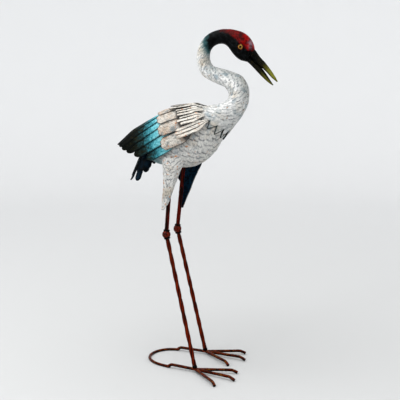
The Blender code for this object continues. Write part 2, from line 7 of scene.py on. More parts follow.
# %% Load the frame
import itertools
import json
import math

import bpy
import numpy as np
from mathutils import Matrix, Vector
from mathutils.bvhtree import BVHTree

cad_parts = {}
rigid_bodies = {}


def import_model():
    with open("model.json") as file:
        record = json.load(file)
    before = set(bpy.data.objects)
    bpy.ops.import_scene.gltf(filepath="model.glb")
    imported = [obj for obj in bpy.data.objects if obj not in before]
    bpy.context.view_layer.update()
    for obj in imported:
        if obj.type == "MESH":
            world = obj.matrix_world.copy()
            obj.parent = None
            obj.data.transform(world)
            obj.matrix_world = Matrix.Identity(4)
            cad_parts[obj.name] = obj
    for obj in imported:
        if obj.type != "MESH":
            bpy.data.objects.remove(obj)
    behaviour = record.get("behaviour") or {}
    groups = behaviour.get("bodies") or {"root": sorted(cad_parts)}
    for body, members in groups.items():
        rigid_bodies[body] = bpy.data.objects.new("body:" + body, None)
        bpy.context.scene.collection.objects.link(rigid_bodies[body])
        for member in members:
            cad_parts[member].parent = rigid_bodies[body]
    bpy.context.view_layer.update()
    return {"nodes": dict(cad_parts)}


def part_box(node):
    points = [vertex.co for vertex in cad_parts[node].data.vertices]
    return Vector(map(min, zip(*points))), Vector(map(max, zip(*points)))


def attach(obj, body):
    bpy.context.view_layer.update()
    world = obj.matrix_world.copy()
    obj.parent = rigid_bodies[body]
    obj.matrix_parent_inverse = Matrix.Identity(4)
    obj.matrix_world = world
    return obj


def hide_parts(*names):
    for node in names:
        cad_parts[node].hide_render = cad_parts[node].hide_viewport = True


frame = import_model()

MM = 0.001
SHEET = 1.2 * MM
SIGN = {"right": -1, "left": 1}
KNEE = Vector((-0.0255, 0.0520, 0.4015))
KNEE_BOXES = [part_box("knee_ball_" + side) for side in SIGN]
KNEE_CENTRES = [(box[0] + box[1]) / 2 for box in KNEE_BOXES]
HOME = (KNEE_CENTRES[0] + KNEE_CENTRES[1]) / 2 - Vector((KNEE.x, 0, KNEE.z))
print("frame:", len(frame["nodes"]), "nodes, moved by", [round(v, 4) for v in HOME])

# %% [markdown]
# ## A few tools for the bench
# Operators act on whatever is selected, so `pick` selects only the piece in hand, and `start` adds a
# primitive with nothing else selected. `edit` goes into edit mode, picks out the faces or edges that a step
# is for, and comes back. That is what a hand does with the mouse, written down so that it can be repeated.

# %% Bench tools
def pick(*pieces):
    """Selects these pieces alone, the last one active."""
    bpy.ops.object.select_all(action="DESELECT")
    for piece in pieces:
        piece.select_set(True)
    bpy.context.view_layer.objects.active = pieces[-1]


def start(operator, **settings):
    """Adds a primitive with nothing else selected."""
    bpy.ops.object.select_all(action="DESELECT")
    operator(**settings)
    return bpy.context.object


def edit(piece, *steps, only=None, kind="FACE"):
    """Runs edit-mode steps on a whole piece, or on those faces or edges alone that a test picks out."""
    pick(piece)
    bpy.ops.object.mode_set(mode="EDIT")
    bpy.ops.mesh.select_all(action="SELECT")
    if only:
        bpy.ops.mesh.select_mode(type=kind)
        bpy.ops.mesh.select_all(action="DESELECT")
        bpy.ops.object.mode_set(mode="OBJECT")
        for part in piece.data.edges if kind == "EDGE" else piece.data.polygons:
            part.select = only(part)
        bpy.ops.object.mode_set(mode="EDIT")
    for step in steps:
        step()
    bpy.ops.object.mode_set(mode="OBJECT")


print("bench ready")

# %% [markdown]
# ## Seams, walls and shading
# A real sheet is closed with a weld and has a thickness. Here doubles are merged where two edges meet, and
# a modifier gives the wall, because it keeps the same thickness however the sheet is bent. Smooth shading
# up to an angle leaves the cut edges sharp.

# %% Seams, walls and shading
def modify(piece, kind, **settings):
    """Adds a modifier and applies it."""
    pick(piece)
    modifier = piece.modifiers.new(kind.lower(), kind)
    for name, value in settings.items():
        setattr(modifier, name, value)
    bpy.ops.object.modifier_apply(modifier=modifier.name)


def weld_doubles(piece, distance=0.02 * MM):
    """Merges the points that meet and turns all faces outwards."""
    edit(piece, lambda: bpy.ops.mesh.remove_doubles(threshold=distance),
         lambda: bpy.ops.mesh.normals_make_consistent(inside=False))


def shade(piece, degrees):
    pick(piece)
    bpy.ops.object.shade_smooth_by_angle(angle=math.radians(degrees))


def join(name, pieces):
    """Makes one piece of several."""
    pick(*pieces)
    bpy.ops.object.join()
    whole = bpy.context.view_layer.objects.active
    whole.name = whole.data.name = name
    return whole


print("seams are welded over", 0.02, "mm")

# %% [markdown]
# ## The last step of every piece
# `dress` moves a finished piece from the measuring frame to its home in the frame, gives it its paint and
# hides the CAD nodes it stands for. The object itself stays at the origin, because its place is in its mesh.

# %% The last step of every piece
def dress(piece, slot, nodes, *finishes):
    """Moves a finished piece home, paints it and hides the CAD nodes it stands for."""
    piece.data.transform(Matrix.Translation(HOME) @ piece.matrix_world)
    piece.matrix_world = Matrix.Identity(4)
    numbers = [face.material_index for face in piece.data.polygons]
    piece.data.materials.clear()
    for finish in finishes:
        piece.data.materials.append(finish)
    piece.data.polygons.foreach_set("material_index", numbers)
    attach(piece, "root")
    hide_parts(*nodes)


print("home is at", [round(v, 4) for v in HOME])

# %% [markdown]
# ## Points and numbers
# The shapes are worked out for all points of a piece at once, so a few tools read and write its points as
# one table. `note` keeps a number for each point under a name, and a paint reads it by that name: how deep
# a chisel mark is, or how far the spray reached.

# %% Points and numbers
def points_of(piece, what="co"):
    """A row of x, y and z for every point of a piece, or for its normal there."""
    values = np.empty(len(piece.data.vertices) * 3)
    piece.data.vertices.foreach_get(what, values)
    return values.reshape(-1, 3)


def form(piece, points):
    """Puts every point of a piece in its new place."""
    piece.data.vertices.foreach_set("co", np.asarray(points, np.float32).ravel())
    piece.data.update()


def note(piece, **numbers):
    """Writes numbers per point, which a paint reads by their names."""
    for name, values in numbers.items():
        kept = piece.data.attributes.new(name, "FLOAT", "POINT")
        kept.data.foreach_set("value", np.asarray(values, np.float32))


print("points are kept in metres, one millimetre is", MM)

# %% [markdown]
# ## Gentle steps and dents
# Nothing on a hammered sheet starts or ends abruptly, so every mark fades in and out with `ease`. `dents`
# is smooth noise in space, for whatever the hammer did by chance. It is worked out from a seed, so that it
# comes out the same each time.

# %% Gentle steps and dents
def ease(share):
    """A share from 0 to 1 that starts and ends gently."""
    share = np.clip(share, 0, 1)
    return share * share * (3 - 2 * share)


def unit(vectors):
    return vectors / np.maximum(np.linalg.norm(vectors, axis=-1, keepdims=True), 1e-12)


def distances(line):
    """How far along a line of points each of them lies."""
    return np.concatenate([[0], np.cumsum(np.linalg.norm(np.diff(line, axis=0), axis=1))])


def dents(points, size, seed):
    """Smooth random heights from -1 to 1 over points in space, with a grain of the given size."""
    shuffled = np.random.default_rng(seed).permutation(256)
    heights = np.random.default_rng(seed + 1).uniform(-1, 1, 256)
    cell = np.asarray(points) / size + 512.0
    base = np.floor(cell).astype(int)
    share = ease(cell - base)
    total = np.zeros(len(cell))
    for corner in itertools.product((0, 1), repeat=3):
        x, y, z = (base + corner).T
        key = shuffled[(shuffled[(shuffled[x % 256] + y) % 256] + z) % 256]
        total += heights[key] * np.prod(np.where(corner, share, 1 - share), axis=1)
    return total


print("a middling dent:", round(float(dents([(0.1, 0.0, 0.7)], 11 * MM, 11)[0]), 3))

# %% [markdown]
# ## Sheet metal
# Body, neck, thighs and feathers are all flat sheet that was cut and then hammered over a form. We do the
# same: `sheet` lays a flat grid of small squares, and `form` lifts each of its points to a shape that is
# given as a function of how far along and how far across the point lies, so a pattern can follow the sheet
# as real hammer marks do. Relief then moves the points along the surface's own direction.

# %% Flat sheet
def sheet(name, along, across):
    """A flat grid of along by across squares."""
    flat = start(bpy.ops.mesh.primitive_grid_add, x_subdivisions=along, y_subdivisions=across, size=1)
    flat.name = flat.data.name = name
    return flat


def places_on(flat):
    """How far along and across each point of a flat sheet lies, from 0 to 1."""
    places = points_of(flat) + 0.5
    return places[:, 0], places[:, 1]


def outward(points, across):
    """The direction of the surface at every point of a formed grid, whose rows hold across + 1 points."""
    grid = points.reshape(across + 1, -1, 3)
    return unit(np.cross(np.gradient(grid, axis=1), np.gradient(grid, axis=0))).reshape(-1, 3)


print("sheet is", SHEET / MM, "mm thick")

# %% [markdown]
# ## Camera
# The picture was taken with a long lens from the bird's right side, a little from the front, with the
# camera almost at head height.

# %% Camera
AZIMUTH = math.radians(17)
PITCH = math.radians(8.001)
DISTANCE = 2.7
SIDE_STEP = 0.060
EYE_LEVEL = 0.8776
camera_data = bpy.data.cameras.new("camera")
camera_data.lens = 82.04
camera_data.sensor_width = 36.0
camera_data.dof.use_dof = False
camera = bpy.data.objects.new("camera", camera_data)
bpy.context.scene.collection.objects.link(camera)
sideways = Vector((math.cos(AZIMUTH), math.sin(AZIMUTH), 0))
camera.location = Vector((math.sin(AZIMUTH), -math.cos(AZIMUTH), 0)) * DISTANCE + sideways * SIDE_STEP + HOME
camera.location.z = EYE_LEVEL
camera.rotation_euler = (math.pi / 2 - PITCH, 0, AZIMUTH)
bpy.context.scene.camera = camera
print("camera at", [round(v, 3) for v in camera.location])

# %% [markdown]
# ## Paints
# Colours are given as the hex values of a paint chart, which are sRGB, and one function turns them to the
# linear values that a shader wants. One more function adds a node with its settings and links. A paint is
# then a first colour and the coats that were brushed or sprayed over it, from the first to the last.
# Antique wash is a thin dark glaze that is wiped off the high places and stays in the hammer marks, so the
# pieces carry a number called `mark` that is 1 at the bottom of a mark.

# %% Colour and node tools
def colour(code):
    """A linear colour from an sRGB hex code."""
    parts = [int(code[i:i + 2], 16) / 255 for i in (0, 2, 4)]
    return (*(c / 12.92 if c <= 0.04045 else ((c + 0.055) / 1.055) ** 2.4 for c in parts), 1.0)


def node(tree, kind, inputs=None, stops=(), **settings):
    """Adds a node. inputs maps a socket to a value, a hex colour or an output. stops are a ramp's colours."""
    new = tree.nodes.new(kind)
    for name, value in settings.items():
        setattr(new, name, value)
    for socket, value in (inputs or {}).items():
        if isinstance(value, bpy.types.NodeSocket):
            tree.links.new(value, new.inputs[socket])
        else:
            new.inputs[socket].default_value = colour(value) if isinstance(value, str) else value
    for _ in stops[2:]:
        new.color_ramp.elements.new(0.5)
    for number, (place, code) in enumerate(stops):
        new.color_ramp.elements[number].position = place
        new.color_ramp.elements[number].color = colour(code)
    return new


print("white is", [round(v, 3) for v in colour("ffffff")])

# %% [markdown]
# ### How a paint is put together
# `start_paint` sets the gloss and fetches what the pieces have noted. `finish_paint` puts the colour on the
# shader and presses the paint's fine grain into its surface.

# %% How a paint is put together
def start_paint(name, roughness, specular, coat, *notes):
    """A new paint: the material, its tree, the object's coordinates and the numbers that the pieces carry."""
    material = bpy.data.materials.new(name)
    material.use_nodes = True
    tree = material.node_tree
    gloss = {"Roughness": roughness, "Specular IOR Level": specular,
             "Coat Weight": coat, "Coat Roughness": 0.15}
    for socket, value in gloss.items():
        tree.nodes["Principled BSDF"].inputs[socket].default_value = value
    place = node(tree, "ShaderNodeTexCoord").outputs["Object"]
    return material, tree, place, {
        key: node(tree, "ShaderNodeAttribute", attribute_name=key).outputs["Fac"] for key in notes}


def finish_paint(material, body, grain, depth, strength):
    """Puts the colour on the shader and a grain of the given depth into the surface."""
    tree = material.node_tree
    shader = tree.nodes["Principled BSDF"]
    relief = node(tree, "ShaderNodeBump", {"Height": grain, "Distance": depth, "Strength": strength})
    tree.links.new(body, shader.inputs["Base Color"])
    tree.links.new(relief.outputs[0], shader.inputs["Normal"])
    return material


print("paints start from a Principled shader")

# %% [markdown]
# ### Flecks, sprayed edges and coats
# Brushed and sprayed paint is never one colour. `speckle` gives patches or flecks of a size in millimetres,
# `sprayed` gives the broken edge of a sprayed colour, and `coats` lays colours over each other as a painter
# does.

# %% Flecks, sprayed edges and coats
def speckle(tree, place, size, low, high, detail=2.0, stretch=(1, 1, 1)):
    """A share that is 0 below the noise value low and 1 above high. size is the grain in millimetres."""
    moved = node(tree, "ShaderNodeMapping", {"Vector": place, "Scale": stretch}).outputs[0]
    noise = node(tree, "ShaderNodeTexNoise", {"Vector": moved, "Scale": 1 / (size * MM), "Detail": detail})
    return node(tree, "ShaderNodeMapRange",
                {"Value": noise.outputs["Fac"], "From Min": low, "From Max": high}).outputs[0]


def sprayed(tree, mottle, uneven, number, low, high):
    """A share that is 0 where a noted number is below low and 1 above high, with a mottled edge."""
    edge = node(tree, "ShaderNodeMath", {0: mottle, 1: uneven, 2: number}, operation="MULTIPLY_ADD")
    return node(tree, "ShaderNodeMapRange",
                {"Value": edge.outputs[0], "From Min": low, "From Max": high}).outputs[0]


def coats(tree, body, *layers):
    """Lays coats over a colour. Each is a share, a strength and its colour."""
    for share, strength, over in layers:
        share = node(tree, "ShaderNodeMath", {0: share, 1: strength}, operation="MULTIPLY").outputs[0]
        # The colour sockets of a Mix node are numbers 6 and 7, and its mixed colour is output 2.
        body = node(tree, "ShaderNodeMix", {0: share, 6: body, 7: over}, data_type="RGBA").outputs[2]
    return body


print("paint tools ready")

# %% [markdown]
# ### White plumage paint
# Brushed enamel over hammered sheet: dirty white with patches of blue-grey and warm beige, a few small dabs
# of orange, and a grey wash in the marks. The patches are 20 to 45 mm wide and the dabs about 10 mm. The
# number `dabs` is the noise value above which a dab shows, so a lower one gives more of them.

# %% White plumage paint
def white_plumage(name, dabs):
    material, tree, place, notes = start_paint(name, 0.50, 0.25, 0.03, "dusk", "night", "mark")
    grain = speckle(tree, place, 4, 0.35, 0.75, detail=4.0)
    rump = coats(tree, "55777b", (notes["night"], 1, "0b0f10"))
    body = coats(
        tree, "d4d3cf",
        (speckle(tree, place, 45, 0.50, 0.72), 1, "beb4a5"),
        (speckle(tree, place, 22, 0.56, 0.72), 1, "9aa5ab"),
        (speckle(tree, place, 10, dabs, dabs + 0.08), 1, "cc8a58"),
        (grain, 0.5, "767673"),
        (speckle(tree, place, 5, 0.54, 0.66, stretch=(1.7, 1, 0.6)), 0.6, "555f68"),
        # The rump's teal-grey and black, which also serves as painted shade on the flank under the wing.
        (notes["dusk"], 1, rump),
        (notes["mark"], 0.92, "2b343b"))
    return finish_paint(material, body, grain, 0.25 * MM, 0.35)


white_paint = white_plumage("white_enamel_on_hammered_steel", 0.66)
thigh_paint = white_plumage("white_enamel_with_orange_dabs", 0.61)
print(white_paint.name)

# %% [markdown]
# ### Neck and head paint
# The same white runs up the neck, turns to a mottled teal-grey and then to black over the arch. The crown
# is a deep signal red that starts as a thin line on the nape and widens over the brow. Two numbers, `nape`
# and `crown`, come with the neck and head pieces and say where the sprayed edges of these colours lie. The
# enamel is glossier than on the body, but the soft light leaves its blacks deep.

# %% Neck and head paint
neck_paint, tree, place, notes = start_paint(
    "white_black_and_red_enamel", 0.36, 0.035, 0.0, "under", "mark", "seam", "nape", "crown", "brow", "lilac")
grain = speckle(tree, place, 4, 0.35, 0.75, detail=4.0)
mottle = speckle(tree, place, 10, 0.3, 0.7)
behind_brow = node(tree, "ShaderNodeMath", {0: 1.0, 1: notes["brow"]}, operation="SUBTRACT").outputs[0]
black = coats(tree, "010202", (speckle(tree, place, 12, 0.50, 0.75), 1, "101315"))
red = coats(
    tree, "3a0202",
    (speckle(tree, place, 14, 0.36, 0.60), 1, "8a0403"),
    (speckle(tree, place, 4.5, 0.50, 0.68), behind_brow, "120203"),
    (behind_brow, 0.6, "2c0505"),
    # A lilac-grey painted highlight where the bill meets the face.
    (notes["lilac"], 1, "7d6a74"))
body = coats(
    tree, "efeeec",
    (speckle(tree, place, 45, 0.50, 0.72), 1, "d6cbbb"),
    (speckle(tree, place, 22, 0.56, 0.72), 1, "98a6ae"),
    (speckle(tree, place, 10, 0.64, 0.72), 1, "c98a5c"),
    (speckle(tree, place, 5, 0.54, 0.66, stretch=(0.6, 1, 1.7)), 0.34, "555f68"),
    # Painted shade on the underside of the neck and on the lower breast.
    (notes["under"], 0.55, "7f827c"),
    (grain, 0.4, "767c80"),
    (notes["mark"], 0.92, "37414a"),
    # A near-black line on the neck's cut edge, partly a dark edge and partly painted shadow.
    (notes["seam"], 1, "0c0d0e"),
    (sprayed(tree, mottle, 0.22, notes["nape"], 0.08, 0.55), 1, "41686b"),
    (sprayed(tree, mottle, 0.22, notes["nape"], 0.30, 0.86), 1, black),
    (sprayed(tree, mottle, 0.35, notes["crown"], 0.35, 0.95), 1, red))
finish_paint(neck_paint, body, grain, 0.2 * MM, 0.3)
print(neck_paint.name)

# %% [markdown]
# ### Wing and tail paints
# The flight feathers are sprayed turquoise near the coverts and black with an olive sheen towards the tips.
# The number `reach` says how far from the shoulder a point lies, and `mark` is the bottom of the scribed
# barbs, the dark rims, and painted shade on the root that lies under the coverts. The tail is blue-black.
# Both are smooth enamel. Coverts and scapulars are duller: cream, brushed on, with a brown wash and, on some
# rims, orange, and with painted shade where they lie under the tier above.

# %% Wing and tail paints
flight_paint, tree, place, notes = start_paint("turquoise_to_black_enamel", 0.36, 0.035, 0.0, "reach", "mark")
reach = sprayed(tree, speckle(tree, place, 6, 0.3, 0.7, detail=4.0), 0.14, notes["reach"], 0.0, 1.0)
turquoise = node(tree, "ShaderNodeValToRGB", {0: reach}, stops=[
    (0.25, "a2d8de"), (0.36, "68b7c2"), (0.45, "347d89"),
    (0.56, "1a3537"), (0.70, "0b0e09"), (1.0, "010202")])
olive = speckle(tree, place, 12, 0.52, 0.75, stretch=(0.4, 1, 1.6))
body = coats(
    tree, turquoise.outputs[0],
    (olive, sprayed(tree, 0.0, 0.0, notes["reach"], 0.38, 0.50), "1f1c0a"),
    (notes["mark"], 0.85, "06090a"))
finish_paint(flight_paint, body, speckle(tree, place, 3, 0.3, 0.7, detail=3.0), 0.15 * MM, 0.3)

tail_paint, tree, place, notes = start_paint("blue_black_enamel", 0.36, 0.035, 0.0, "mark")
body = coats(
    tree, "020508",
    (speckle(tree, place, 15, 0.4, 0.7), 1, "071c2a"),
    (notes["mark"], 0.7, "030506"))
finish_paint(tail_paint, body, speckle(tree, place, 3, 0.3, 0.7, detail=3.0), 0.15 * MM, 0.3)

cream_paint, tree, place, notes = start_paint(
    "cream_enamel_with_brown_wash", 0.50, 0.25, 0.03, "bare", "rim", "mark")
grain = speckle(tree, place, 4, 0.35, 0.75, detail=4.0)
body = coats(
    tree, "d9d4ca",
    (speckle(tree, place, 30, 0.42, 0.66), 1, "c6b19c"),
    (speckle(tree, place, 14, 0.52, 0.68), 1, "8b908f"),
    (notes["bare"], 1, "e6e2d8"),
    (speckle(tree, place, 9, 0.64, 0.70), 1, "c47f50"),
    (speckle(tree, place, 20, 0.56, 0.70), notes["rim"], "8a5f42"),
    (notes["mark"], 0.95, "0d0e10"),
    (grain, 0.4, "6d6a66"),
    (speckle(tree, place, 5, 0.52, 0.64, stretch=(0.5, 1, 1.9)), 0.6, "4f4d4a"))
finish_paint(cream_paint, body, grain, 0.25 * MM, 0.35)
print(flight_paint.name, tail_paint.name, cream_paint.name)

# %% [markdown]
# ### Leg, bill and eye paints
# Bar and rod are lacquered in transparent red-brown over blackened steel, so the high edges glow and the
# rest is nearly black. On the rods the brush left long streaks. The bill goes from black at the face to
# olive at the tips. The eye is glossy ochre.

# %% Leg, bill and eye paints
def lacquer(name, dark, bright, olive, streak=1.0, roughness=0.30, coat=0.0):
    """Three close colours in flecks. streak below 1 draws the flecks out along the rod."""
    material, tree, place, notes = start_paint(name, roughness, 0.035, coat, "under")
    body = coats(
        tree, dark,
        (speckle(tree, place, 6, 0.40, 0.62, stretch=(1, 1, streak)), 1, bright),
        (speckle(tree, place, 9, 0.58, 0.70, stretch=(1, 1, streak)), 1, olive),
        # Where a rod faces down, it is painted black as painted shade.
        (notes["under"], 1, "010000"))
    return finish_paint(material, body, speckle(tree, place, 2, 0.3, 0.7, detail=3.0), 0.15 * MM, 0.35)


# Lacquer glows red-brown where it is thick, weld scale is dull and nearly black, and the smooth blue enamel
# inside the thighs and the glass of the eyes keep a small sharp glint.
rod_paint = lacquer("red_brown_lacquer_on_rod", "0c0200", "560b00", "1c0b04", streak=0.12)
foot_paint = lacquer("rust_brown_lacquer", "120301", "5e1e04", "70430a")
ball_paint = lacquer("glossy_red_brown_lacquer", "280500", "601502", "33190a", roughness=0.20, coat=0.10)
weld_paint = lacquer("blackened_weld", "020101", "080403", "060302")
inner_paint = lacquer("midnight_blue_enamel", "04101a", "0b2a3e", "071a28")
iris_paint = lacquer("ochre_gloss", "7a5a22", "9a7634", "5f421a", roughness=0.12)
pupil_paint = lacquer("black_gloss", "020202", "050505", "030303", roughness=0.08)

bar_paint, tree, place, notes = start_paint(
    "red_brown_lacquer_on_twisted_bar", 0.32, 0.03, 0.0, "lace", "moss")
moss = coats(tree, "4a3c1a", (speckle(tree, place, 30, 0.35, 0.65), 1, "1a0b05"))
fleck = speckle(tree, place, 4, 0.5, 0.8)
body = coats(tree, "020000", (notes["lace"], 1, "661700"), (notes["moss"], 1, moss), (fleck, 0.5, "150806"))
finish_paint(bar_paint, body, fleck, 0.15 * MM, 0.35)

bill_paint, tree, place, notes = start_paint("black_to_olive_enamel", 0.36, 0.04, 0.0, "tip")
olive = node(tree, "ShaderNodeValToRGB", {0: notes["tip"]}, stops=[
    (0.0, "020302"), (0.45, "15140a"), (0.7, "4a4713"), (1.0, "75762a")])
body = coats(tree, olive.outputs[0], (speckle(tree, place, 10, 0.5, 0.75), 0.45, "2b2410"))
finish_paint(bill_paint, body, speckle(tree, place, 3, 0.3, 0.7, stretch=(1, 1, 3)), 0.1 * MM, 0.3)
print(bar_paint.name, foot_paint.name)

# %% [markdown]
# ## The trunk's form
# Body, neck and head were hammered over one long form. It is given as a table of sections from the rump to
# the face: the upper point, the lower point and half the width of each. A smooth curve runs through the
# rows.

# %% The trunk's form
TRUNK = np.array([
    (-0.112, 0.638, -0.108, 0.628, 0.005), (-0.104, 0.657, -0.092, 0.617, 0.018),
    (-0.088, 0.678, -0.072, 0.608, 0.032), (-0.072, 0.696, -0.045, 0.602, 0.045),
    (-0.052, 0.715, -0.010, 0.598, 0.056), (-0.030, 0.733, 0.025, 0.5975, 0.063),
    (-0.008, 0.748, 0.060, 0.607, 0.066), (0.015, 0.760, 0.090, 0.627, 0.065),
    (0.035, 0.768, 0.113, 0.651, 0.061), (0.059, 0.775, 0.137, 0.688, 0.0535),
    (0.085, 0.779, 0.165, 0.7215, 0.046), (0.103, 0.7825, 0.183, 0.742, 0.041),
    (0.120, 0.786, 0.197, 0.763, 0.037), (0.134, 0.7915, 0.206, 0.782, 0.034),
    (0.145, 0.799, 0.210, 0.800, 0.032), (0.1503, 0.809, 0.2105, 0.817, 0.0303),
    (0.149, 0.819, 0.2075, 0.836, 0.030), (0.144, 0.828, 0.1965, 0.856, 0.029),
    (0.135, 0.8355, 0.180, 0.8705, 0.027), (0.107, 0.8465, 0.139, 0.8843, 0.0235),
    (0.0775, 0.863, 0.1065, 0.893, 0.0215), (0.0645, 0.877, 0.0985, 0.900, 0.021),
    (0.0565, 0.8945, 0.094, 0.908, 0.0205), (0.0535, 0.912, 0.0925, 0.917, 0.020),
    (0.0545, 0.930, 0.0927, 0.9285, 0.0193), (0.059, 0.949, 0.096, 0.9403, 0.019),
    (0.071, 0.969, 0.104, 0.9495, 0.019), (0.088, 0.985, 0.116, 0.956, 0.0195),
    (0.108, 0.995, 0.129, 0.9575, 0.020), (0.128, 0.999, 0.139, 0.955, 0.0205),
    (0.150, 0.9995, 0.147, 0.949, 0.021), (0.171, 0.996, 0.1545, 0.940, 0.022),
    (0.190, 0.990, 0.163, 0.9285, 0.0235), (0.205, 0.9805, 0.174, 0.9175, 0.0245),
    (0.216, 0.968, 0.186, 0.9105, 0.024), (0.223, 0.954, 0.196, 0.9078, 0.021),
    (0.226, 0.941, 0.205, 0.9055, 0.0165)
])
BREAST_SEAM, NAPE_SEAM, FACE = 9.0, 30.0, 36.0


def row_at(rows, at):
    """A smooth curve through the rows of a table, read at row numbers that may be fractions."""
    last = len(rows) - 1
    index = np.clip(np.asarray(at).astype(int), 0, last - 1)
    share = (at - index)[:, None]
    a, b, c, d = (rows[np.clip(index + step, 0, last)] for step in (-1, 0, 1, 2))
    return b + 0.5 * share * (c - a + share * (2 * a - 5 * b + 4 * c - d + share * (3 * (b - c) + d - a)))


def skin(rows, station, turn, proud=0.0, size=1.0):
    """Points round a table of sections. turn starts at the top, proud lifts a section, size shrinks it."""
    row = row_at(rows, station)
    upper = np.stack([row[:, 0], np.zeros(len(row)), row[:, 1]], axis=1)
    lower = np.stack([row[:, 2], np.zeros(len(row)), row[:, 3]], axis=1)
    centre = (upper + lower) / 2
    depth = upper - centre
    length = np.linalg.norm(depth, axis=1, keepdims=True)
    depth *= (1 + np.reshape(proud, (-1, 1)) / length) * np.reshape(size, (-1, 1))
    points = centre + depth * np.cos(turn)[:, None]
    points[:, 1] += (row[:, 4] + proud) * size * np.sin(turn)
    return points


print("trunk:", len(TRUNK), "sections")

# %% [markdown]
# ## Chisel marks
# The feathers of body and neck are rows of U-shaped marks that a round chisel left in the sheet. Each mark
# is struck a little askew, deeper or wider. They are worked out as a depth over the sheet instead of being
# modelled one by one, so that they can follow any form.

# %% Chisel marks
def chisel_marks(run, round_share, columns, spacing, seed):
    """Depth from 0 to 1 of the U-shaped marks that stand for small feathers, in staggered rows."""
    rows = int(run.max() / spacing) + 3
    jitter = np.random.default_rng(seed).uniform(-1, 1, (rows, columns, 5))
    deepest = np.zeros(len(run))
    for row_step, column_step in itertools.product((-1, 0, 1), repeat=2):
        row = np.floor(run / spacing).astype(int) + row_step
        stagger = 0.5 * (row % 2)
        column = np.floor(round_share * columns - stagger).astype(int) + column_step
        shift = jitter[row % rows, column % columns]
        across = round_share * columns - stagger - column - 0.5 - 0.22 * shift[:, 1]
        slant = 0.85 * np.sign(round_share - 0.5) + 0.4 * shift[:, 2]
        ahead = run / spacing - row - 0.5 - 0.28 * shift[:, 0] + slant * across
        half = 0.40 + 0.08 * shift[:, 3]
        curve = ahead - 0.20 * (across / half) ** 2
        depth = np.exp(-(curve / 0.16) ** 2) * ease((1.05 - np.abs(across) / half) / 0.3)
        deepest = np.maximum(deepest, depth * (0.75 + 0.25 * shift[:, 4]))
    return deepest


print("chisel marks ready")

# %% [markdown]
# ## Body shell
# The real body is two hammered halves, welded and ground, closed at the rump. One sheet is rolled round the
# form here and closed along its back. The hammer leaves shallow dents, and a round chisel leaves rows of
# U-shaped marks. Both are real relief, because the light shows them from every side. Two numbers say where
# the rump was sprayed teal-grey and black, and the first of them also lays a band of painted shade along the
# flank under the wing.

# %% Body shell
def rolled_piece(name, rows, squares, station_of, proud_of, columns, seed, dent, cut, spacing=11 * MM):
    """Rolls a sheet round a table of sections. The first and last two rows close its ends inside."""
    along, across = squares
    piece = sheet(name, along, across)
    share, round_share = places_on(piece)
    row = np.rint(share * along)
    turn = 2 * np.pi * round_share
    station = station_of(np.clip((row - 2) / (along - 4), 0, 1), turn)
    size = np.select([(row == 0) | (row == along), (row == 1) | (row == along - 1)], [0.001, 0.93], 1.0)
    points = skin(rows, station, turn, proud_of(station), size)
    levels = np.unique(station)
    middle = skin(rows, levels, np.zeros(len(levels)), size=0.001)
    run = np.interp(station, levels, distances(middle))
    mark = chisel_marks(run, round_share % 1.0, columns, spacing, seed) * ease((size - 0.95) / 0.05)
    dented = dents(points, 11 * MM, seed) * 0.6 + dents(points, 27 * MM, seed + 5) * 0.7
    push = (dented * dent - mark * cut) * (size == 1)
    form(piece, points + outward(points, across) * push[:, None])
    note(piece, mark=mark)
    return piece, station, turn


def probe(piece):
    """Finds places on a piece's surface."""
    mesh = piece.data
    return BVHTree.FromPolygons([v.co for v in mesh.vertices], [f.vertices for f in mesh.polygons])


body, _, _ = rolled_piece(
    "body_shell_sheet", TRUNK, (210, 280), lambda w, turn: w * 11.0,
    lambda s: -1.2 * MM * ease((s - 8.2) / 1.2), 19, 11, 1.20 * MM, 1.00 * MM, 12.5 * MM)
x, _, z = points_of(body).T
# A band of painted shade on the flank, just under the wing's lower edge.
flank_band = 0.5 * ease((0.01 - x) / 0.05) * ease((z - 0.650) / 0.02)
note(body, dusk=np.maximum(ease((-0.028 - x) / 0.035), flank_band), night=ease((-0.066 - x) / 0.022))
weld_doubles(body)
shade(body, 60)
flank = probe(body)
dress(body, "white", ["body_shell"], white_paint)
print("body:", len(body.data.polygons), "faces")

# %% [markdown]
# ## Neck and breast
# The neck is a second sheet that lies over the front of the body. Its lower edge was cut into pointed teeth,
# like the tips of small feathers, and it is a sheet's thickness proud of the body there, so the edge throws a
# line of shadow. The teeth are about 20 mm deep and 25 mm wide, so 14 of them fit round the breast. One
# number darkens the underside of the neck and the lower breast as painted shade, and another gives the cut
# edge a near-black line that is partly a dark edge and partly painted shadow.

# %% Neck and breast
TEETH, TOOTH_DEPTH, SEAM_RISE = 14, 0.64, 0.35
CROWN_LINE = [(0.110, 0.992), (0.150, 0.985), (0.170, 0.971), (0.190, 0.953), (0.205, 0.939), (0.226, 0.932)]


def tooth_edge(turn):
    """The station where the neck's edge lies, with pointed teeth."""
    wave = turn / (2 * np.pi) * TEETH % 1.0
    return BREAST_SEAM + 0.15 + SEAM_RISE * (0.5 - 0.5 * np.cos(turn)) - TOOTH_DEPTH * np.abs(2 * wave - 1)


def crown_of(points):
    """Where the red was sprayed: above a line that falls towards the bill."""
    line = np.interp(points[:, 0], *zip(*CROWN_LINE))
    return ease((points[:, 2] - line) / 0.018 + 0.3) * ease((points[:, 0] - 0.112) / 0.03)


neck, station, turn = rolled_piece(
    "neck_sheet", TRUNK, (400, 160), lambda w, turn: tooth_edge(turn) + (NAPE_SEAM - tooth_edge(turn)) * w,
    lambda s: 2.4 * MM * (1 - ease((s - 9) / 3)), 15, 23, 0.75 * MM, 0.65 * MM, 9.5 * MM)
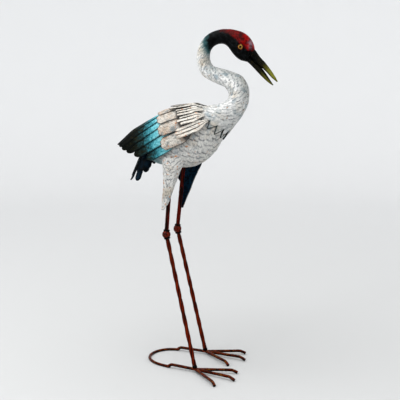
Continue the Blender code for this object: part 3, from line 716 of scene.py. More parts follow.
# The underside of the neck and the lower breast are darkened as painted shade, and the cut edge gets a
# near-black line that is partly a dark edge and partly painted shadow.
throat = ease(0.15 - np.cos(turn)) * ease((station - 12) / 3)
note(neck, nape=ease((station - 23.5 - 1.1 * np.cos(turn)) / 4.4), crown=crown_of(points_of(neck)),
     under=np.maximum(throat, 0.55 * (1 - ease((station - 9) / 7))),
     seam=1 - ease((station - tooth_edge(turn) - 0.09) / 0.10))
weld_doubles(neck)
shade(neck, 60)
dress(neck, "white", ["neck"], neck_paint)
print("neck:", len(neck.data.polygons), "faces")

# %% [markdown]
# ## Head
# The head is drawn out of the same form, with a low brow over each eye and a hollow, the lore, in front of
# it. The number `brow` brightens the red over the eyes, and a pale lilac-grey patch where the bill meets the
# face is a painted highlight.

# %% Head
EYE = Vector((0.1905, 0, 0.9480))


def spot(points, x, z, long, high):
    """1 at a place on the side of the head, fading out over its length and height."""
    return np.exp(-((points[:, 0] - x) / long) ** 2 - ((points[:, 2] - z) / high) ** 2)


head, _, _ = rolled_piece(
    "head_sheet", TRUNK, (110, 112), lambda w, turn: NAPE_SEAM - 0.25 + (FACE - NAPE_SEAM + 0.25) * w,
    lambda s: -0.5 * MM * (1 - ease((s - NAPE_SEAM + 0.2) / 0.4)), 14, 31, 0.25 * MM, 0.12 * MM)
points = points_of(head)
brow = spot(points, EYE.x, EYE.z + 0.013, 0.016, 0.0045)
lore = spot(points, EYE.x + 0.016, EYE.z - 0.004, 0.009, 0.009)
points[:, 1] += np.sign(points[:, 1]) * (1.3 * MM * brow - 1.0 * MM * lore)
form(head, points)
# A painted highlight, lilac-grey, where the bill meets the face.
bare_patch = spot(points, 0.2165, 0.9555, 0.0055, 0.0110)
note(head, nape=np.ones(len(points)), crown=crown_of(points), brow=ease((points[:, 0] - 0.188) / 0.016),
     lilac=0.9 * bare_patch * ease(0.6 + dents(points, 5 * MM, 37)))
weld_doubles(head)
shade(head, 60)
skull = probe(head)
dress(head, "black", ["head"], neck_paint)
print("head:", len(head.data.polygons), "faces")

# %% [markdown]
# ## Bill
# Each half of the bill is a strip that was rolled to a taper and welded to the face. The same rolling does
# it here, round two shorter tables of sections whose first row is sunk into the face. The tips stand open,
# and each half has a ridge along its outer side. A row of BILLS names a half, its table, where round it the
# ridge runs and how green its tip is.

# %% Bill
BILLS = [
    ("upper_bill", 0.0, 1.0, np.array([
        (0.2205, 0.9420, 0.2085, 0.9165, 0.0128), (0.2262, 0.9400, 0.2140, 0.9175, 0.0128),
        (0.2415, 0.9196, 0.2290, 0.9035, 0.0108), (0.2563, 0.9040, 0.2427, 0.8933, 0.0092),
        (0.2710, 0.8857, 0.2600, 0.8778, 0.0074), (0.2850, 0.8660, 0.2765, 0.8612, 0.0052),
        (0.2945, 0.8500, 0.2905, 0.8495, 0.0022)
    ])),
    ("lower_bill", np.pi, 0.75, np.array([
        (0.2080, 0.9200, 0.2000, 0.9100, 0.0118), (0.2148, 0.9187, 0.2052, 0.9060, 0.0120),
        (0.2300, 0.9043, 0.2183, 0.8942, 0.0100), (0.2428, 0.8941, 0.2331, 0.8792, 0.0084),
        (0.2560, 0.8775, 0.2500, 0.8625, 0.0066), (0.2690, 0.8590, 0.2650, 0.8490, 0.0046),
        (0.2815, 0.8405, 0.2785, 0.8395, 0.0020)
    ]))]
BILL_SQUARES = (110, 48)

for name, ridge_turn, green, rows in BILLS:
    last = len(rows) - 1.0
    bill, station, turn = rolled_piece(name + "_strip", rows, BILL_SQUARES, lambda w, turn: w * last,
                                       lambda s: np.zeros(len(s)), 6, 41, 0.15 * MM, 0.0)
    spine = np.exp(-((np.angle(np.exp(1j * (turn - ridge_turn)))) / 0.30) ** 2)
    ridge = 0.5 * MM * spine * ease(station / 1.5) * ease((last - station) / 2)
    points = points_of(bill)
    form(bill, points + outward(points, BILL_SQUARES[1]) * ridge[:, None])
    outer = 0.5 + 0.5 * np.cos(turn - ridge_turn)
    note(bill, tip=green * ease((station - 1.4) / 3.6) * ease(outer / 0.45))
    weld_doubles(bill)
    shade(bill, 50)
    dress(bill, "olive", [name], bill_paint)
    print(name, len(bill.data.polygons), "faces")

# %% [markdown]
# ## Eyes
# An eye is a low glass dome in a ring of bent wire. The ray that places it goes from the side onto the
# finished head, so it sits on the hammered surface as the real one does. Parts that are joined keep their
# own paints, if each of them carries the whole list of paints before it is joined.

# %% Eyes
EYE_RADIUS, IRIS_RADIUS, PUPIL_RADIUS, EYE_RISE, LID_WIRE = 7.2 * MM, 6.4 * MM, 3.6 * MM, 3.6 * MM, 1.8 * MM


def fill(piece, finishes, number_of):
    """Gives a piece a list of paints, and each face the number of its own."""
    for finish in finishes:
        piece.data.materials.append(finish)
    for face in piece.data.polygons:
        face.material_index = number_of(face)


def seat(place, direction):
    """The matrix that sets a piece on a place with its own +Z along a direction."""
    return Matrix.Translation(place) @ Vector((0, 0, 1)).rotation_difference(direction).to_matrix().to_4x4()


def ring_of(face):
    aside = math.hypot(face.center.x, face.center.y)
    return 1 if aside < PUPIL_RADIUS else (0 if aside < IRIS_RADIUS else 2)


eye_paints = (iris_paint, pupil_paint, ball_paint)
for side, sign in SIGN.items():
    hit, normal, _, _ = skull.ray_cast(Vector((EYE.x, sign, EYE.z)), Vector((0, -sign, 0)))
    dome = start(bpy.ops.mesh.primitive_uv_sphere_add, segments=64, ring_count=48, radius=EYE_RADIUS)
    edit(dome, lambda: bpy.ops.transform.resize(value=(1, 1, EYE_RISE / EYE_RADIUS)))
    fill(dome, eye_paints, ring_of)
    lid = start(bpy.ops.mesh.primitive_torus_add, major_radius=EYE_RADIUS + 0.2 * MM,
                minor_radius=LID_WIRE / 2, major_segments=64, minor_segments=14)
    fill(lid, eye_paints, lambda face: 2)
    eye = join(f"eye_{side}_dome", [lid, dome])
    eye.data.transform(seat(hit, normal))
    shade(eye, 60)
    dress(eye, "amber", ["eye_" + side], *eye_paints)
print("eyes at", [round(v, 4) for v in hit])

# %% [markdown]
# ## Thighs
# A thigh is a sheet rolled round the leg, open on its inner side and welded to the flank. Each row of its
# table gives a height, the front edge's x and distance from the middle plane, the same for the rear edge,
# and how far out the roll reaches. Outside it is white with chiselled marks, inside it is midnight blue.

# %% Thighs
THIGHS = {
    "right": np.array([
        (0.648, 0.0370, 0.0350, -0.0440, 0.0350, 0.0520), (0.626, 0.0291, 0.0380, -0.0410, 0.0390, 0.0655),
        (0.608, 0.0238, 0.0410, -0.0385, 0.0420, 0.0690), (0.590, 0.0160, 0.0450, -0.0350, 0.0450, 0.0700),
        (0.567, 0.0082, 0.0500, -0.0340, 0.0480, 0.0695), (0.543, 0.0004, 0.0550, -0.0342, 0.0500, 0.0685),
        (0.522, -0.0061, 0.0590, -0.0352, 0.0515, 0.0675),
        (0.501, -0.0131, 0.0615, -0.0370, 0.0525, 0.0665),
        (0.4755, -0.0270, 0.0615, -0.0385, 0.0545, 0.0640)
    ]),
    "left": np.array([
        (0.648, 0.0640, 0.0350, -0.0280, 0.0350, 0.0520), (0.626, 0.0600, 0.0385, -0.0275, 0.0390, 0.0655),
        (0.600, 0.0524, 0.0420, -0.0265, 0.0440, 0.0700), (0.562, 0.0325, 0.0470, -0.0240, 0.0505, 0.0695),
        (0.548, 0.0262, 0.0490, -0.0190, 0.0585, 0.0690), (0.521, 0.0146, 0.0530, -0.0170, 0.0605, 0.0685),
        (0.496, 0.0022, 0.0570, -0.0160, 0.0612, 0.0665), (0.4655, -0.0100, 0.0605, -0.0150, 0.0612, 0.0625)
    ])}
THIGH_SLANT = {"right": 0.0200, "left": 0.0040}
THIGH_SQUARES = (150, 110)

for side, rows in THIGHS.items():
    thigh = sheet(f"thigh_{side}_sheet", *THIGH_SQUARES)
    share, across = places_on(thigh)
    low = rows[-1, 0] + THIGH_SLANT[side] * np.maximum(0, 1 - across / 0.28)
    z = rows[0, 0] + (low - rows[0, 0]) * share
    front_x, front_y, rear_x, rear_y, out = (np.interp(z, rows[::-1, 0], rows[::-1, i]) for i in range(1, 6))
    x = front_x + (rear_x - front_x) * (0.5 - 0.5 * np.cos(np.pi * across))
    y = front_y + (rear_y - front_y) * across + (out - (front_y + rear_y) / 2) * np.sin(np.pi * across) ** 0.9
    points = np.stack([x, SIGN[side] * y, z], axis=1)
    mark = chisel_marks(share * (rows[0, 0] - rows[-1, 0]), across * 0.999, 6, 11 * MM, 57)
    push = dents(points, 11 * MM, 61) * 0.7 * MM - mark * 0.6 * MM
    cut_edge = np.maximum(ease((np.abs(2 * across - 1) - 0.93) / 0.05), ease((share - 0.982) / 0.012))
    form(thigh, points + outward(points, THIGH_SQUARES[1]) * (SIGN[side] * push)[:, None])
    note(thigh, mark=np.maximum(mark, 0.6 * cut_edge))
    modify(thigh, "SOLIDIFY", thickness=SHEET, offset=0)
    axis = np.stack([(front_x + rear_x) / 2, SIGN[side] * (front_y + rear_y) / 2, z], axis=1)
    axis = axis[:THIGH_SQUARES[0] + 1]
    for face in thigh.data.polygons:
        middle = axis[np.argmin(np.abs(axis[:, 2] - face.center.z))]
        face.material_index = int(face.normal.dot(face.center - Vector(middle)) < 0)
    weld_doubles(thigh)
    shade(thigh, 50)
    dress(thigh, "white", [f"thigh_{side}"], thigh_paint, inner_paint)
    print(thigh.name, len(thigh.data.polygons), "faces")

# %% [markdown]
# ## Bent rod
# Upper legs, toes and hoop are round rod, bent cold or under the torch. A line of points is bevelled to a
# rod and made a mesh, and its ends are rounded. The marks of torch and hammer are real relief, because a
# rod catches the light along its whole length.

# %% Bent rod
ROD_SIDES = 20


def roughen(piece, height, grain, seed):
    """Small hammer and torch marks all over a piece."""
    points = points_of(piece)
    form(piece, points + points_of(piece, "normal") * (dents(points, grain, seed) * height)[:, None])


def darken_below(piece):
    """Notes where a lying rod faces down, which the paint darkens as painted shade."""
    note(piece, under=ease(0.55 - 1.5 * points_of(piece, "normal")[:, 2]))


def rod(name, points, diameter, spacing=1.6 * MM):
    """Round rod bent along a line of points, with rounded ends."""
    points = np.array([tuple(point) for point in points])
    line = row_at(points, np.linspace(0, len(points) - 1, 400))
    run = distances(line)
    even = np.linspace(0, run[-1], max(4, int(run[-1] / spacing)))
    curve = bpy.data.curves.new(name, "CURVE")
    curve.dimensions = "3D"
    curve.twist_mode = "Z_UP"
    curve.bevel_depth = diameter / 2 + 0.25 * MM
    curve.bevel_resolution = (ROD_SIDES - 4) // 2
    curve.use_fill_caps = True
    spline = curve.splines.new("POLY")
    spline.points.add(len(even) - 1)
    for place, *point in zip(spline.points, *(np.interp(even, run, line[:, axis]) for axis in range(3))):
        place.co = (*point, 1)
    bent = bpy.data.objects.new(name, curve)
    bpy.context.scene.collection.objects.link(bent)
    pick(bent)
    bpy.ops.object.convert(target="MESH")
    bent = bpy.context.object
    weld_doubles(bent)
    edit(bent, lambda: bpy.ops.mesh.bevel(offset=diameter * 0.22, segments=3, affect="EDGES"),
         only=lambda face: len(face.vertices) > 4)
    return bent


print("rods have", ROD_SIDES, "sides")

# %% [markdown]
# ## Weld and twisted bar
# A weld leaves a rough lump of metal. Below the knee the leg is square bar, heated and twisted a little
# more than two whole turns. We do just that: a cube is stretched to the bar's length, its long edges are
# rounded, it is cut into many short lengths, and Simple Deform twists it. Two numbers, `lace` and `moss`,
# are noted on the straight bar, so that its colours wind round with the twist as the real ones do.

# %% Weld and twisted bar
BAR, BAR_EDGE, BAR_CUTS, BAR_TWIST = 10.6 * MM, 2.4 * MM, 260, 2.25


def weld_lump(place, size, seed):
    """A lump of weld metal, as wide, deep and high as size says in millimetres."""
    lump = start(bpy.ops.mesh.primitive_ico_sphere_add, subdivisions=4, radius=0.5)
    edit(lump, lambda: bpy.ops.transform.resize(value=[side * MM for side in size]))
    lump.data.transform(Matrix.Translation(place))
    roughen(lump, 0.5 * MM, 3.5 * MM, seed)
    return lump


def twisted_bar(name, start_point, end):
    """Square bar with rounded edges, twisted about its length."""
    length = (end - start_point).length
    bar = start(bpy.ops.mesh.primitive_cube_add, size=1, location=(0, 0, length / 2))
    bar.name = bar.data.name = name
    bar.scale = (BAR, BAR, length)
    bpy.ops.object.transform_apply(location=True, rotation=False, scale=True)

    def upright(edge):
        low, high = (bar.data.vertices[i].co.z for i in edge.vertices)
        return abs(high - low) > length / 2

    edit(bar, lambda: bpy.ops.mesh.bevel(offset=BAR_EDGE, segments=4, affect="EDGES"),
         only=upright, kind="EDGE")
    edit(bar, lambda: bpy.ops.mesh.subdivide(number_cuts=BAR_CUTS), only=upright, kind="EDGE")
    points = points_of(bar)
    around = np.arctan2(points[:, 1], points[:, 0])
    from_corner = np.abs(np.degrees(around) % 90 - 45)
    worn = np.clip(0.75 + 0.6 * dents(points, 14 * MM, 71), 0.15, 1)
    note(bar, lace=ease((from_corner - 7) / 10) * worn,
         moss=ease(1.5 * dents(points, 26 * MM, 73) + 0.8 * np.cos(around - 2.3) - 0.9))
    modify(bar, "SIMPLE_DEFORM", deform_method="TWIST", deform_axis="Z", angle=2 * math.pi * BAR_TWIST)
    way = (end - start_point).normalized()
    across = Vector((0, 1, 0)).cross(way).normalized()
    turn = Matrix((across, way.cross(across), way)).transposed().to_4x4()
    bar.data.transform(Matrix.Translation(start_point) @ turn @ Matrix.Rotation(math.radians(45), 4, "Z"))
    roughen(bar, 0.35 * MM, 7 * MM, 79)
    return bar


print("bar:", round(BAR / MM, 1), "mm square,", BAR_TWIST, "turns")

# %% [markdown]
# ## Legs
# Each leg runs from the hip through the knee to the heel. The knee is a ball with a collar of weld metal on
# either side, and the bar ends in a lump of weld at the heel.

# %% Legs
KNEE_STANCE, HIP_STANCE, FOOT_STANCE, HIP_HEIGHT = 0.1040, 0.0940, 0.1770, 0.6450
HIP_X = {"right": -0.0090, "left": 0.0010}
HEEL_X = {"right": 0.0752, "left": 0.0542}
UPPER_ROD, KNEE_BALL, COLLAR_WIRE = 11.8 * MM, 25 * MM, 5.8 * MM
TOE_ROD, TOE_RISE = 8.4 * MM, 4.5 * MM
HEELS = {side: Vector((HEEL_X[side], sign * FOOT_STANCE / 2, TOE_RISE + TOE_ROD / 2))
         for side, sign in SIGN.items()}

for side, sign in SIGN.items():
    hip = Vector((HIP_X[side], sign * HIP_STANCE / 2, HIP_HEIGHT))
    knee = Vector((KNEE.x, sign * KNEE_STANCE / 2, KNEE.z))
    heel = HEELS[side]
    up, down = (hip - knee).normalized(), (heel - knee).normalized()
    upper = rod(f"upper_leg_{side}_rod", [hip.lerp(knee, s) for s in (0, 0.3, 0.6, 1)], UPPER_ROD, 2.4 * MM)
    roughen(upper, 0.3 * MM, 6 * MM, 83)
    shade(upper, 50)
    dress(upper, "rust", [f"upper_leg_{side}"], rod_paint)
    lower = twisted_bar(f"lower_leg_{side}_bar", knee, heel)
    flare = weld_lump(heel - down * 7 * MM, (15, 15, 16), 89)
    lower = join(f"lower_leg_{side}_bar", [flare, lower])
    shade(lower, 35)
    dress(lower, "rust", [f"lower_leg_{side}"], bar_paint)
    ball = start(bpy.ops.mesh.primitive_uv_sphere_add, segments=56, ring_count=36, radius=KNEE_BALL / 2)
    ball.data.transform(Matrix.Translation(knee))
    roughen(ball, 0.35 * MM, 6 * MM, 97)
    fill(ball, (ball_paint, weld_paint), lambda face: 0)
    collars = []
    for way, radius in ((up, UPPER_ROD / 2 + 0.6 * MM), (down, BAR * 0.66)):
        collar = start(bpy.ops.mesh.primitive_torus_add, major_radius=radius, minor_radius=COLLAR_WIRE / 2,
                       major_segments=48, minor_segments=12)
        collar.data.transform(seat(knee + way * KNEE_BALL * 0.47, way))
        roughen(collar, 0.5 * MM, 3 * MM, 101)
        fill(collar, (ball_paint, weld_paint), lambda face: 1)
        collars.append(collar)
    ball = join(f"knee_{side}_ball", [*collars, ball])
    shade(ball, 60)
    dress(ball, "rust", [f"knee_ball_{side}"], ball_paint, weld_paint)
print("legs done")

# %% [markdown]
# ## Feet and hoop
# The toes are round rod, bent down at the tip and welded together under the leg. Both hind toes end on a
# hoop of thinner rod that lies on the floor behind the bird and keeps it from falling back. Toes and hoop
# are bent with the same tool as the upper legs. Headings are in degrees from the way the bird faces,
# lengths in metres.

# %% Feet and hoop
TOE_ARCH, TOE_BEND, HIND_BEND, HEEL_STUB, HOOP_ROD = 2.7 * MM, 21 * MM, 14 * MM, 6 * MM, 7.8 * MM
TOES = {"1": (29.5, 0.1250), "2": (0.0, 0.1405), "3": (-30.0, 0.1405)}
FOOT_TURN = {"right": -20.0, "left": -14.5}
HIND_TOE = {"right": (170.0, 0.0915), "left": (175.5, 0.0960)}
HOOP_LINE = [
    (-0.0444, -0.0615), (-0.0680, -0.0465), (-0.0870, -0.0260), (-0.0990, -0.0030), (-0.1037, 0.0210),
    (-0.1010, 0.0465), (-0.0905, 0.0700), (-0.0700, 0.0890)
]


def toe_line(start, heading, length, bend):
    """A toe's line: it rises a little from the heel and is bent down to the floor at its tip."""
    way = Vector((math.cos(math.radians(heading)), math.sin(math.radians(heading)), 0))
    level, rest, arch = length - bend, TOE_ROD / 2, Vector((0, 0, TOE_ARCH))
    line = [start.lerp(start + way * level + arch, share) for share in (0.0, 0.25, 0.5, 0.75, 0.9)]
    for share in (0.1, 0.4, 0.7, 1.0):
        drop = (start.z + arch.z - rest) * share ** 1.6
        line.append(start + arch + way * (level + bend * share) - Vector((0, 0, drop)))
    return line


def finish_rod(piece, seed, nodes, lumps=()):
    """Puts the marks, the lumps of weld and the paint on a rod that lies on the floor."""
    roughen(piece, 0.25 * MM, 5 * MM, seed)
    darken_below(piece)
    if lumps:
        piece = join(piece.name, [*lumps, piece])
    shade(piece, 50)
    dress(piece, "rust", nodes, foot_paint)


hoop_ends = []
for side, heel in HEELS.items():
    lines = {number: toe_line(heel, FOOT_TURN[side] + spread, length, TOE_BEND)
             for number, (spread, length) in TOES.items()}
    lines["hind"] = toe_line(heel, *HIND_TOE[side], HIND_BEND)
    lines["2"][0] -= (lines["2"][1] - heel).normalized() * HEEL_STUB
    for number, line in lines.items():
        toe = rod(f"toe_{number}_{side}_rod", line, TOE_ROD)
        lumps = []
        if number == "2":
            lumps = [weld_lump(heel + Vector((0, 0, 1.0 * MM)), (19, 17, 9), 107)]
        if number == "hind":
            lumps = [weld_lump(line[-1] + Vector((2 * MM, 0, 0.5 * MM)), (13, 12, 7.4), 109)]
            end = line[-1].lerp(line[-2], 0.3)
            hoop_ends.append((end.x, end.y))
        finish_rod(toe, 103 + len(number), [f"toe_{number}_{side}"], lumps)
hoop_line = [(x, y, HOOP_ROD / 2) for x, y in (hoop_ends[0], *HOOP_LINE, hoop_ends[1])]
finish_rod(rod("heel_hoop_rod", hoop_line, HOOP_ROD), 113, ["heel_hoop"])
print("feet done")

# %% [markdown]
# ## The wing's surface
# A wing is three tiers of feathers, laid like shingles on one curved surface: a quarter of an oval that
# drops from the back to the flank and tapers to the tail. Its outlines are tables over the distance from
# the shoulder, rounded off so that no feather gets a crease. The tail's surface is a short skirt round the
# rump.

# %% The wing's surface
WING_ROOT, WING_DROOP, WING_TOP_SHARE = (0.100, 0.745), math.radians(22), 0.010
WING_UPPER = [(0.0, 0.034), (0.042, 0.050), (0.090, 0.0635), (0.128, 0.067), (0.184, 0.062), (0.239, 0.055),
              (0.299, 0.033), (0.330, 0.020)]
WING_LOWER = [(0.0, -0.008), (0.039, -0.020), (0.083, -0.037), (0.128, -0.037), (0.160, -0.034),
              (0.200, -0.032), (0.258, -0.027), (0.330, -0.014)]
WING_OUT = [(0.0, 0.054), (0.040, 0.064), (0.083, 0.070), (0.128, 0.070), (0.160, 0.066), (0.200, 0.058),
            (0.258, 0.048), (0.330, 0.034)]
TAIL_CENTRE, TAIL_RADII = (-0.098, 0.632), (0.022, 0.026)
RUN = np.linspace(-0.03, 0.36, 391)


def rounded(table):
    """A table's values every millimetre, each the mean of the 20 mm round it."""
    values = np.interp(np.linspace(-0.04, 0.37, 411), *zip(*table))
    return np.convolve(values, np.ones(21) / 21, "valid")


OUTLINES = [rounded(table) for table in (WING_UPPER, WING_LOWER, WING_OUT)]


def wing_surface(sign):
    def surface(along, share):
        top, bottom, out = (np.interp(along, RUN, values) for values in OUTLINES)
        angle = share * np.pi / 2
        height = top - (top - bottom) * (1 - np.cos(angle))
        distance = WING_TOP_SHARE + (out - WING_TOP_SHARE) * np.sin(angle)
        x = WING_ROOT[0] - math.cos(WING_DROOP) * along - math.sin(WING_DROOP) * height
        z = WING_ROOT[1] - math.sin(WING_DROOP) * along + math.cos(WING_DROOP) * height
        return np.stack([x, sign * distance, z], axis=1)
    return surface


def tail_surface(sign):
    def surface(angle, drop):
        turn = np.radians(angle)
        x = TAIL_CENTRE[0] - 0.25 * drop + (TAIL_RADII[0] + 0.20 * drop) * np.cos(turn)
        y = (TAIL_RADII[1] + 0.15 * drop) * np.sin(turn)
        return np.stack([x, sign * y, TAIL_CENTRE[1] - drop], axis=1)
    return surface


print("wing outlines:", [round(float(values[120]), 4) for values in OUTLINES])

# %% [markdown]
# ## Laying a feather
# Each feather is cut flat, with a narrow root and a rounded tip, and bent over the wing until it fits.
# `lay` walks from root to tip on the surface and steps sideways along it, and `keep_clear` keeps the
# feather off the body. KINDS says what sets the kinds apart: how many leaves a sheet shows, its squares
# along and across, how pointed it is, how far apart the barbs are in millimetres, how wide its root is as a
# share of its width, the small steps that measure a surface's slope, and how much one edge of a wing
# feather is raised over the next.

# %% Laying a feather
BLADE_START, ROOT_LIFT, LIFT_END, SLIT_START, BODY_GAP = 0.38, 0.35, 0.30, 0.34, 1.9 * MM
ON_WING = dict(root=0.30, steps=(0.001, 0.01), shingle=1.9 * MM)
ON_TAIL = dict(root=0.45, steps=(0.5, 0.001), shingle=0.0)
KINDS = {
    "flight": dict(leaves=1, squares=(120, 30), point=2.1, barbs=5.5, **ON_WING),
    "covert": dict(leaves=1, squares=(110, 42), point=0.95, barbs=6.0, **ON_WING),
    "scapular": dict(leaves=3, squares=(110, 42), point=1.2, barbs=7.0, **ON_WING),
    "lowest": dict(leaves=3, squares=(110, 42), point=1.2, barbs=7.0, **ON_WING),
    "tail": dict(leaves=1, squares=(120, 30), point=1.7, barbs=5.5, **ON_TAIL)}


def slopes(surface, first, second, steps):
    a = (surface(first + steps[0], second) - surface(first - steps[0], second)) / (2 * steps[0])
    b = (surface(first, second + steps[1]) - surface(first, second - steps[1])) / (2 * steps[1])
    return a, b, unit(np.cross(a, b))


def lay(surface, root, tip, share, edge, width, steps):
    """Points on a surface and its normals: share runs from root to tip, edge times width to the side."""
    first = root[0] + (tip[0] - root[0]) * share
    second = root[1] + (tip[1] - root[1]) * share
    a, b, normal = slopes(surface, first, second, steps)
    forward = unit(a * (tip[0] - root[0]) + b * (tip[1] - root[1]))
    sideways = np.cross(normal, forward) * (width * edge)[:, None]
    aa, ab, bb = (a * a).sum(1), (a * b).sum(1), (b * b).sum(1)
    da, db = (a * sideways).sum(1), (b * sideways).sum(1)
    det = aa * bb - ab * ab
    first, second = first + (bb * da - ab * db) / det, second + (aa * db - ab * da) / det
    return surface(first, second), slopes(surface, first, second, steps)[2]


def keep_clear(points, gap):
    """Moves points that are in or near the body out of it."""
    for index, point in enumerate(points):
        near, out, _, distance = flank.find_nearest(Vector(point))
        if (Vector(point) - near).dot(out) < gap:
            points[index] = near + out * gap
    return points


print("kinds of feather:", *KINDS)

# %% [markdown]
# ## Cutting a feather
# `leaves_of` gives the outline. A scapular sheet is slit so that it shows three narrow leaves, each cut a
# little shorter or longer, and coverts have a wavy rim, because the real ones were cut by hand with shears.

# %% Cutting a feather
def leaves_of(kind, share, edge, width, length, seed):
    """Where points lie across the slits and across their leaf, and their share of the way once cut."""
    leaves = KINDS[kind]["leaves"]
    waved = edge + 0.07 * np.sin(8 * share + seed) * ease(share / 0.3) * (leaves > 1)
    number = np.clip(np.floor((waved + 1) / 2 * leaves), 0, leaves - 1)
    leaf = np.clip((waved + 1 - (2 * number + 1) / leaves) * leaves, -1, 1)
    cut = width * KINDS[kind]["point"] * (1 - np.sqrt(1 - (0.96 * leaf) ** 2))
    if kind in ("covert", "scapular", "lowest"):
        cut += 2.6 * MM * (0.5 + 0.5 * np.sin(leaf * 8 + seed + number * 2))
    if kind == "scapular":
        cut = cut / leaves * 1.2 + length * 0.14 * np.abs(np.sin(seed + 1.9 * number))
    if kind == "lowest":
        cut = cut / leaves + width * 1.1 * (1 - np.sqrt(1 - (0.96 * edge) ** 2))
    return waved, leaf, share * (1 - cut * ease(share) / length)


print("leaves:", {kind: sort["leaves"] for kind, sort in KINDS.items()})

# %% [markdown]
# ## Pressing a feather
# `pressed` gives the relief: a quill down the middle, barbs that slant back from it and a crown across the
# blade. It also says where the dark wash stays, in the barbs and along the rims, and where painted shade is
# laid under the tier above.

# %% Pressing a feather
def pressed(kind, points, share, edge, leaf, half, run, length, seed):
    """How far each point is pressed out, and how dark it is: wash in the barbs and rims, painted shade under
    the tier above.
    """
    blade = ease((share - 0.12) / 0.2)
    crown = 1 - np.abs(leaf) ** 2
    quill = np.exp(-(leaf * half / (0.9 * MM)) ** 2)
    aside = np.abs(leaf) * half
    slant = (run - aside * 1.1) / (KINDS[kind]["barbs"] * MM) + 0.55 * dents(points, 9 * MM, seed)
    barb = np.clip(1 - np.abs(slant % 1.0 - 0.5) / 0.24, 0, 1) * ease((aside - 1.2 * MM) / MM) * blade
    if kind in ("flight", "tail"):
        mark = 0.70 * barb + ease((np.abs(edge) - 0.76) / 0.16)
        # A flight feather's root, hidden under the coverts, is painted dark as painted shade.
        if kind == "flight":
            mark += 1 - ease((share - 0.12) / 0.08)
        return (0.5 * quill + 0.9 * crown - 0.30 * barb) * MM, mark
    groove = quill * blade
    height = 1.5 * crown * blade - 0.7 * groove - 0.25 * barb + 0.25 * dents(points, 8 * MM, seed + 3)
    in_groove, in_barb, rim, fade = (0.35, 0.7, 0.84, 0.10) if kind == "covert" else (0.10, 0.12, 0.66, 0.12)
    cut_end = ease((share * length - length + 2.6 * MM) / (1.2 * MM))
    mark = np.max([in_groove * groove, in_barb * barb, ease((np.abs(leaf) - rim) / fade), cut_end], axis=0)
    if kind == "lowest":
        mark = mark * (1 - 0.6 * ease((share - 0.5) / 0.4))
    # A covert's root, under the scapulars, is painted dark as painted shade, so the slits between the leaves
    # look black.
    if kind == "covert":
        mark = np.maximum(mark, 1 - ease((share - 0.34) / 0.10))
    return height * MM, mark


print("barbs are", KINDS["flight"]["barbs"], "mm apart on a flight feather")

# %% [markdown]
# ## One whole feather
# A flat sheet is laid on the surface, lifted to the height of its tier and pressed, and its numbers are
# noted. Then the slits are cut by taking out the narrow faces between two leaves, and the wall gets its
# thickness last, so that both its faces carry the same relief.

# %% One whole feather
def feather(name, surface, root, tip, half_width, lift, outside, kind, seed, darker=0.0):
    """One feather, from its root to its tip on a surface. outside says on which side of it to lie."""
    sort = KINDS[kind]
    piece = sheet(name, *sort["squares"])
    share, edge = places_on(piece)
    edge = 2 * edge - 1
    root_point, tip_point = (surface(np.array([end[0]]), np.array([end[1]])) for end in (root, tip))
    length = np.linalg.norm(tip_point - root_point)
    width = half_width * (sort["root"] + (1 - sort["root"]) * ease(share / BLADE_START))
    waved, leaf, share_on = leaves_of(kind, share, edge, width, length, seed)
    points, normal = lay(surface, root, tip, share_on, edge, width, sort["steps"])
    raised = ease(share / LIFT_END)
    rise = lift * (ROOT_LIFT + (1 - ROOT_LIFT) * raised) + sort["shingle"] * edge * raised
    rise += 1.5 * MM * leaf * ease((share - 0.3) / 0.3) * (sort["leaves"] > 1)
    points = keep_clear(points + normal * (rise * outside)[:, None], BODY_GAP)
    height, mark = pressed(kind, points, share, edge, leaf, width / sort["leaves"], share_on * length,
                           length, seed)
    form(piece, points + outward(points, sort["squares"][1]) * (outside * height)[:, None])
    rim = ease((np.abs(leaf) - 0.55) / 0.4) * ease((share - 0.12) / 0.2)
    bare = {"scapular": 0.75, "lowest": 0.6}.get(kind, 0.0) * (1 - 0.5 * ease((share - 0.6) / 0.4))
    note(piece, mark=np.clip(mark, 0, 1), rim=rim * (0.25 if kind == "scapular" else 1.0), bare=bare,
         reach=np.clip(-points[:, 0] / 0.2 + darker, 0, 1))

    def in_slit(face):
        across, along = (np.mean([values[i] for i in face.vertices]) for values in (waved, share))
        return bool(abs(abs(across) - 1 / 3) < 0.055 and along > SLIT_START)

    if kind == "scapular":
        edit(piece, lambda: bpy.ops.mesh.delete(type="FACE"), only=in_slit)
    weld_doubles(piece, 0.01 * MM)
    modify(piece, "SOLIDIFY", thickness=SHEET, offset=0)
    shade(piece, 40)
    return piece


print("feather tools ready")

# %% [markdown]
# ## Wings
# Rows for one wing run from its upper to its lower edge: root distance, root share, tip distance, tip share
# and half width. The other wing is its mirror image, laid in the same way on the other flank. The lowest
# scapular sheet has pressed ridges instead of slits, and the lowest flight feathers are a little darker.

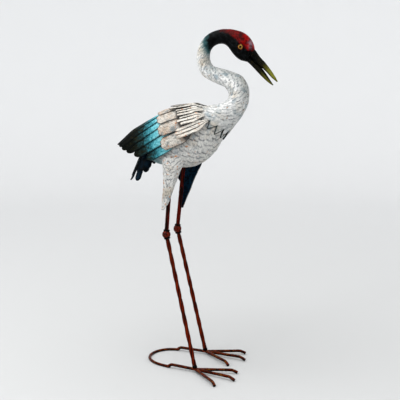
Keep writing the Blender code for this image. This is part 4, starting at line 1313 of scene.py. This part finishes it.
# %% Wings
FLIGHT = [
    (0.098, 0.10, 0.299, 0.22, 0.0135), (0.098, 0.27, 0.292, 0.43, 0.0135),
    (0.098, 0.44, 0.284, 0.62, 0.0135), (0.098, 0.61, 0.271, 0.77, 0.0135),
    (0.098, 0.78, 0.250, 0.93, 0.0135), (0.098, 0.95, 0.214, 1.08, 0.0130)
]
COVERTS = [
    (0.050, 0.13, 0.143, 0.14, 0.0170), (0.046, 0.37, 0.146, 0.39, 0.0190),
    (0.042, 0.63, 0.149, 0.66, 0.0190), (0.040, 0.90, 0.153, 0.92, 0.0190)
]
SCAPULARS = [
    (0.010, 0.18, 0.106, 0.18, 0.0120), (0.006, 0.44, 0.090, 0.42, 0.0126),
    (0.004, 0.70, 0.087, 0.62, 0.0135), (0.000, 0.96, 0.098, 0.82, 0.0140)
]
TIERS = (("flight_feather", "flight", "teal", FLIGHT, 1.1 * MM, flight_paint),
         ("covert", "covert", "white", COVERTS, 6.8 * MM, cream_paint),
         ("scapular", "scapular", "white", SCAPULARS, 12.6 * MM, cream_paint))
DARKER = {4: 0.02, 5: 0.07, 6: 0.17}

for side, sign in SIGN.items():
    for node_name, kind, slot_name, rows, lift, finish in TIERS:
        for number, (root_u, root_t, tip_u, tip_t, half_width) in enumerate(rows, 1):
            shape = "lowest" if kind == "scapular" and number == len(rows) else kind
            name = f"{node_name}_{number}_{side}"
            piece = feather(name + "_sheet", wing_surface(sign), (root_u, root_t), (tip_u, tip_t), half_width,
                            lift, -sign, shape, 200 + 7 * number, DARKER.get(number, 0.0))
            dress(piece, slot_name, [name], finish)
    print("wing", side, "laid")

# %% [markdown]
# ## Tail
# Seven narrow blue-black feathers hang round the rump, each a little outside or inside its neighbour. A row
# gives the angle round the rump, half the width and the lengths on the right and on the left. The roots
# start 10 mm above the rump's edge, so that they are hidden under the wings.

# %% Tail
TAIL = [
    (180, 0.0095, 0.080, 0.000), (141, 0.0090, 0.063, 0.060), (99, 0.0095, 0.076, 0.046),
    (68, 0.0095, 0.050, 0.031)
]
TAIL_ROOT = -0.010

for number, (angle, half_width, *lengths) in enumerate(TAIL):
    for (side, sign), length in zip(SIGN.items(), lengths):
        if length:
            name = "tail_feather_middle" if angle == 180 else f"tail_feather_{number}_{side}"
            piece = feather(name + "_sheet", tail_surface(sign), (angle, TAIL_ROOT), (angle, length),
                            half_width, 2.4 * MM * (number % 2), -sign, "tail", 300 + number)
            dress(piece, "navy", [name], tail_paint)
print("tail laid")

# %% [markdown]
# ## Floor and light
# The floor is a wide round sheet of pale paper whose rim curves up on every side, so there is no horizon
# from any side. It is drawn a little darker under the bird, where real paper is shaded. A soft lamp
# overhead gives the pale shadows under the feet, a small one stands beside the camera, and the open sky
# fills the rest.

# %% Floor
FLOOR_RADIUS, RIM, RIM_STEPS, WALL = 3.6, 1.6, 16, 2.0
floor = start(bpy.ops.mesh.primitive_circle_add, vertices=128, radius=FLOOR_RADIUS, fill_type="NGON")
floor.name = "paper_floor"
bpy.ops.object.mode_set(mode="EDIT")
bpy.ops.mesh.select_mode(type="EDGE")
bpy.ops.mesh.select_all(action="SELECT")
radius, height = FLOOR_RADIUS, 0.0
for step in range(1, RIM_STEPS + 1):
    angle = math.pi / 2 * step / RIM_STEPS
    wider, higher = FLOOR_RADIUS + RIM * math.sin(angle), RIM * (1 - math.cos(angle))
    bpy.ops.mesh.extrude_edges_move(TRANSFORM_OT_translate={"value": (0, 0, higher - height)})
    bpy.ops.transform.resize(value=(wider / radius, wider / radius, 1))
    radius, height = wider, higher
bpy.ops.mesh.extrude_edges_move(TRANSFORM_OT_translate={"value": (0, 0, WALL)})
bpy.ops.object.mode_set(mode="OBJECT")
shade(floor, 60)

# Matt paper scatters light evenly, so the floor shows soft shadows and no reflection.
paper, tree, place, _ = start_paint("matt_paper", 0.9, 0.2, 0.0)
reach = node(tree, "ShaderNodeVectorMath", {0: place}, operation="LENGTH").outputs["Value"]
body = coats(tree, "bdbebe", (sprayed(tree, 0.0, 0.0, reach, 0.2, 5.5), 1, "f0f1f2"))
tree.links.new(body, tree.nodes["Principled BSDF"].inputs["Base Color"])
floor.data.materials.append(paper)
print("floor:", len(floor.data.polygons), "faces")

# %% Light
world = bpy.data.worlds.new("sky")
bpy.context.scene.world = world
world.use_nodes = True
world.node_tree.nodes["Background"].inputs["Color"].default_value = (1, 1, 1, 1)
world.node_tree.nodes["Background"].inputs["Strength"].default_value = 1.0


def lamp(name, place, target, size, watts):
    data = bpy.data.lights.new(name, "AREA")
    data.shape = "DISK"
    data.size = size
    data.energy = watts
    light = bpy.data.objects.new(name, data)
    bpy.context.scene.collection.objects.link(light)
    light.location = place
    light.rotation_euler = (Vector(target) - Vector(place)).to_track_quat("-Z", "Y").to_euler()


lamp("overhead", (-0.6, -0.8, 3.0), (0, 0, 0.5), 2.6, 62)
lamp("beside_camera", (-1.3, -2.3, 1.5), (0, 0, 0.7), 0.45, 12)
bpy.context.scene.view_settings.view_transform = "Standard"
bpy.context.scene.view_settings.look = "None"
print("stage set")
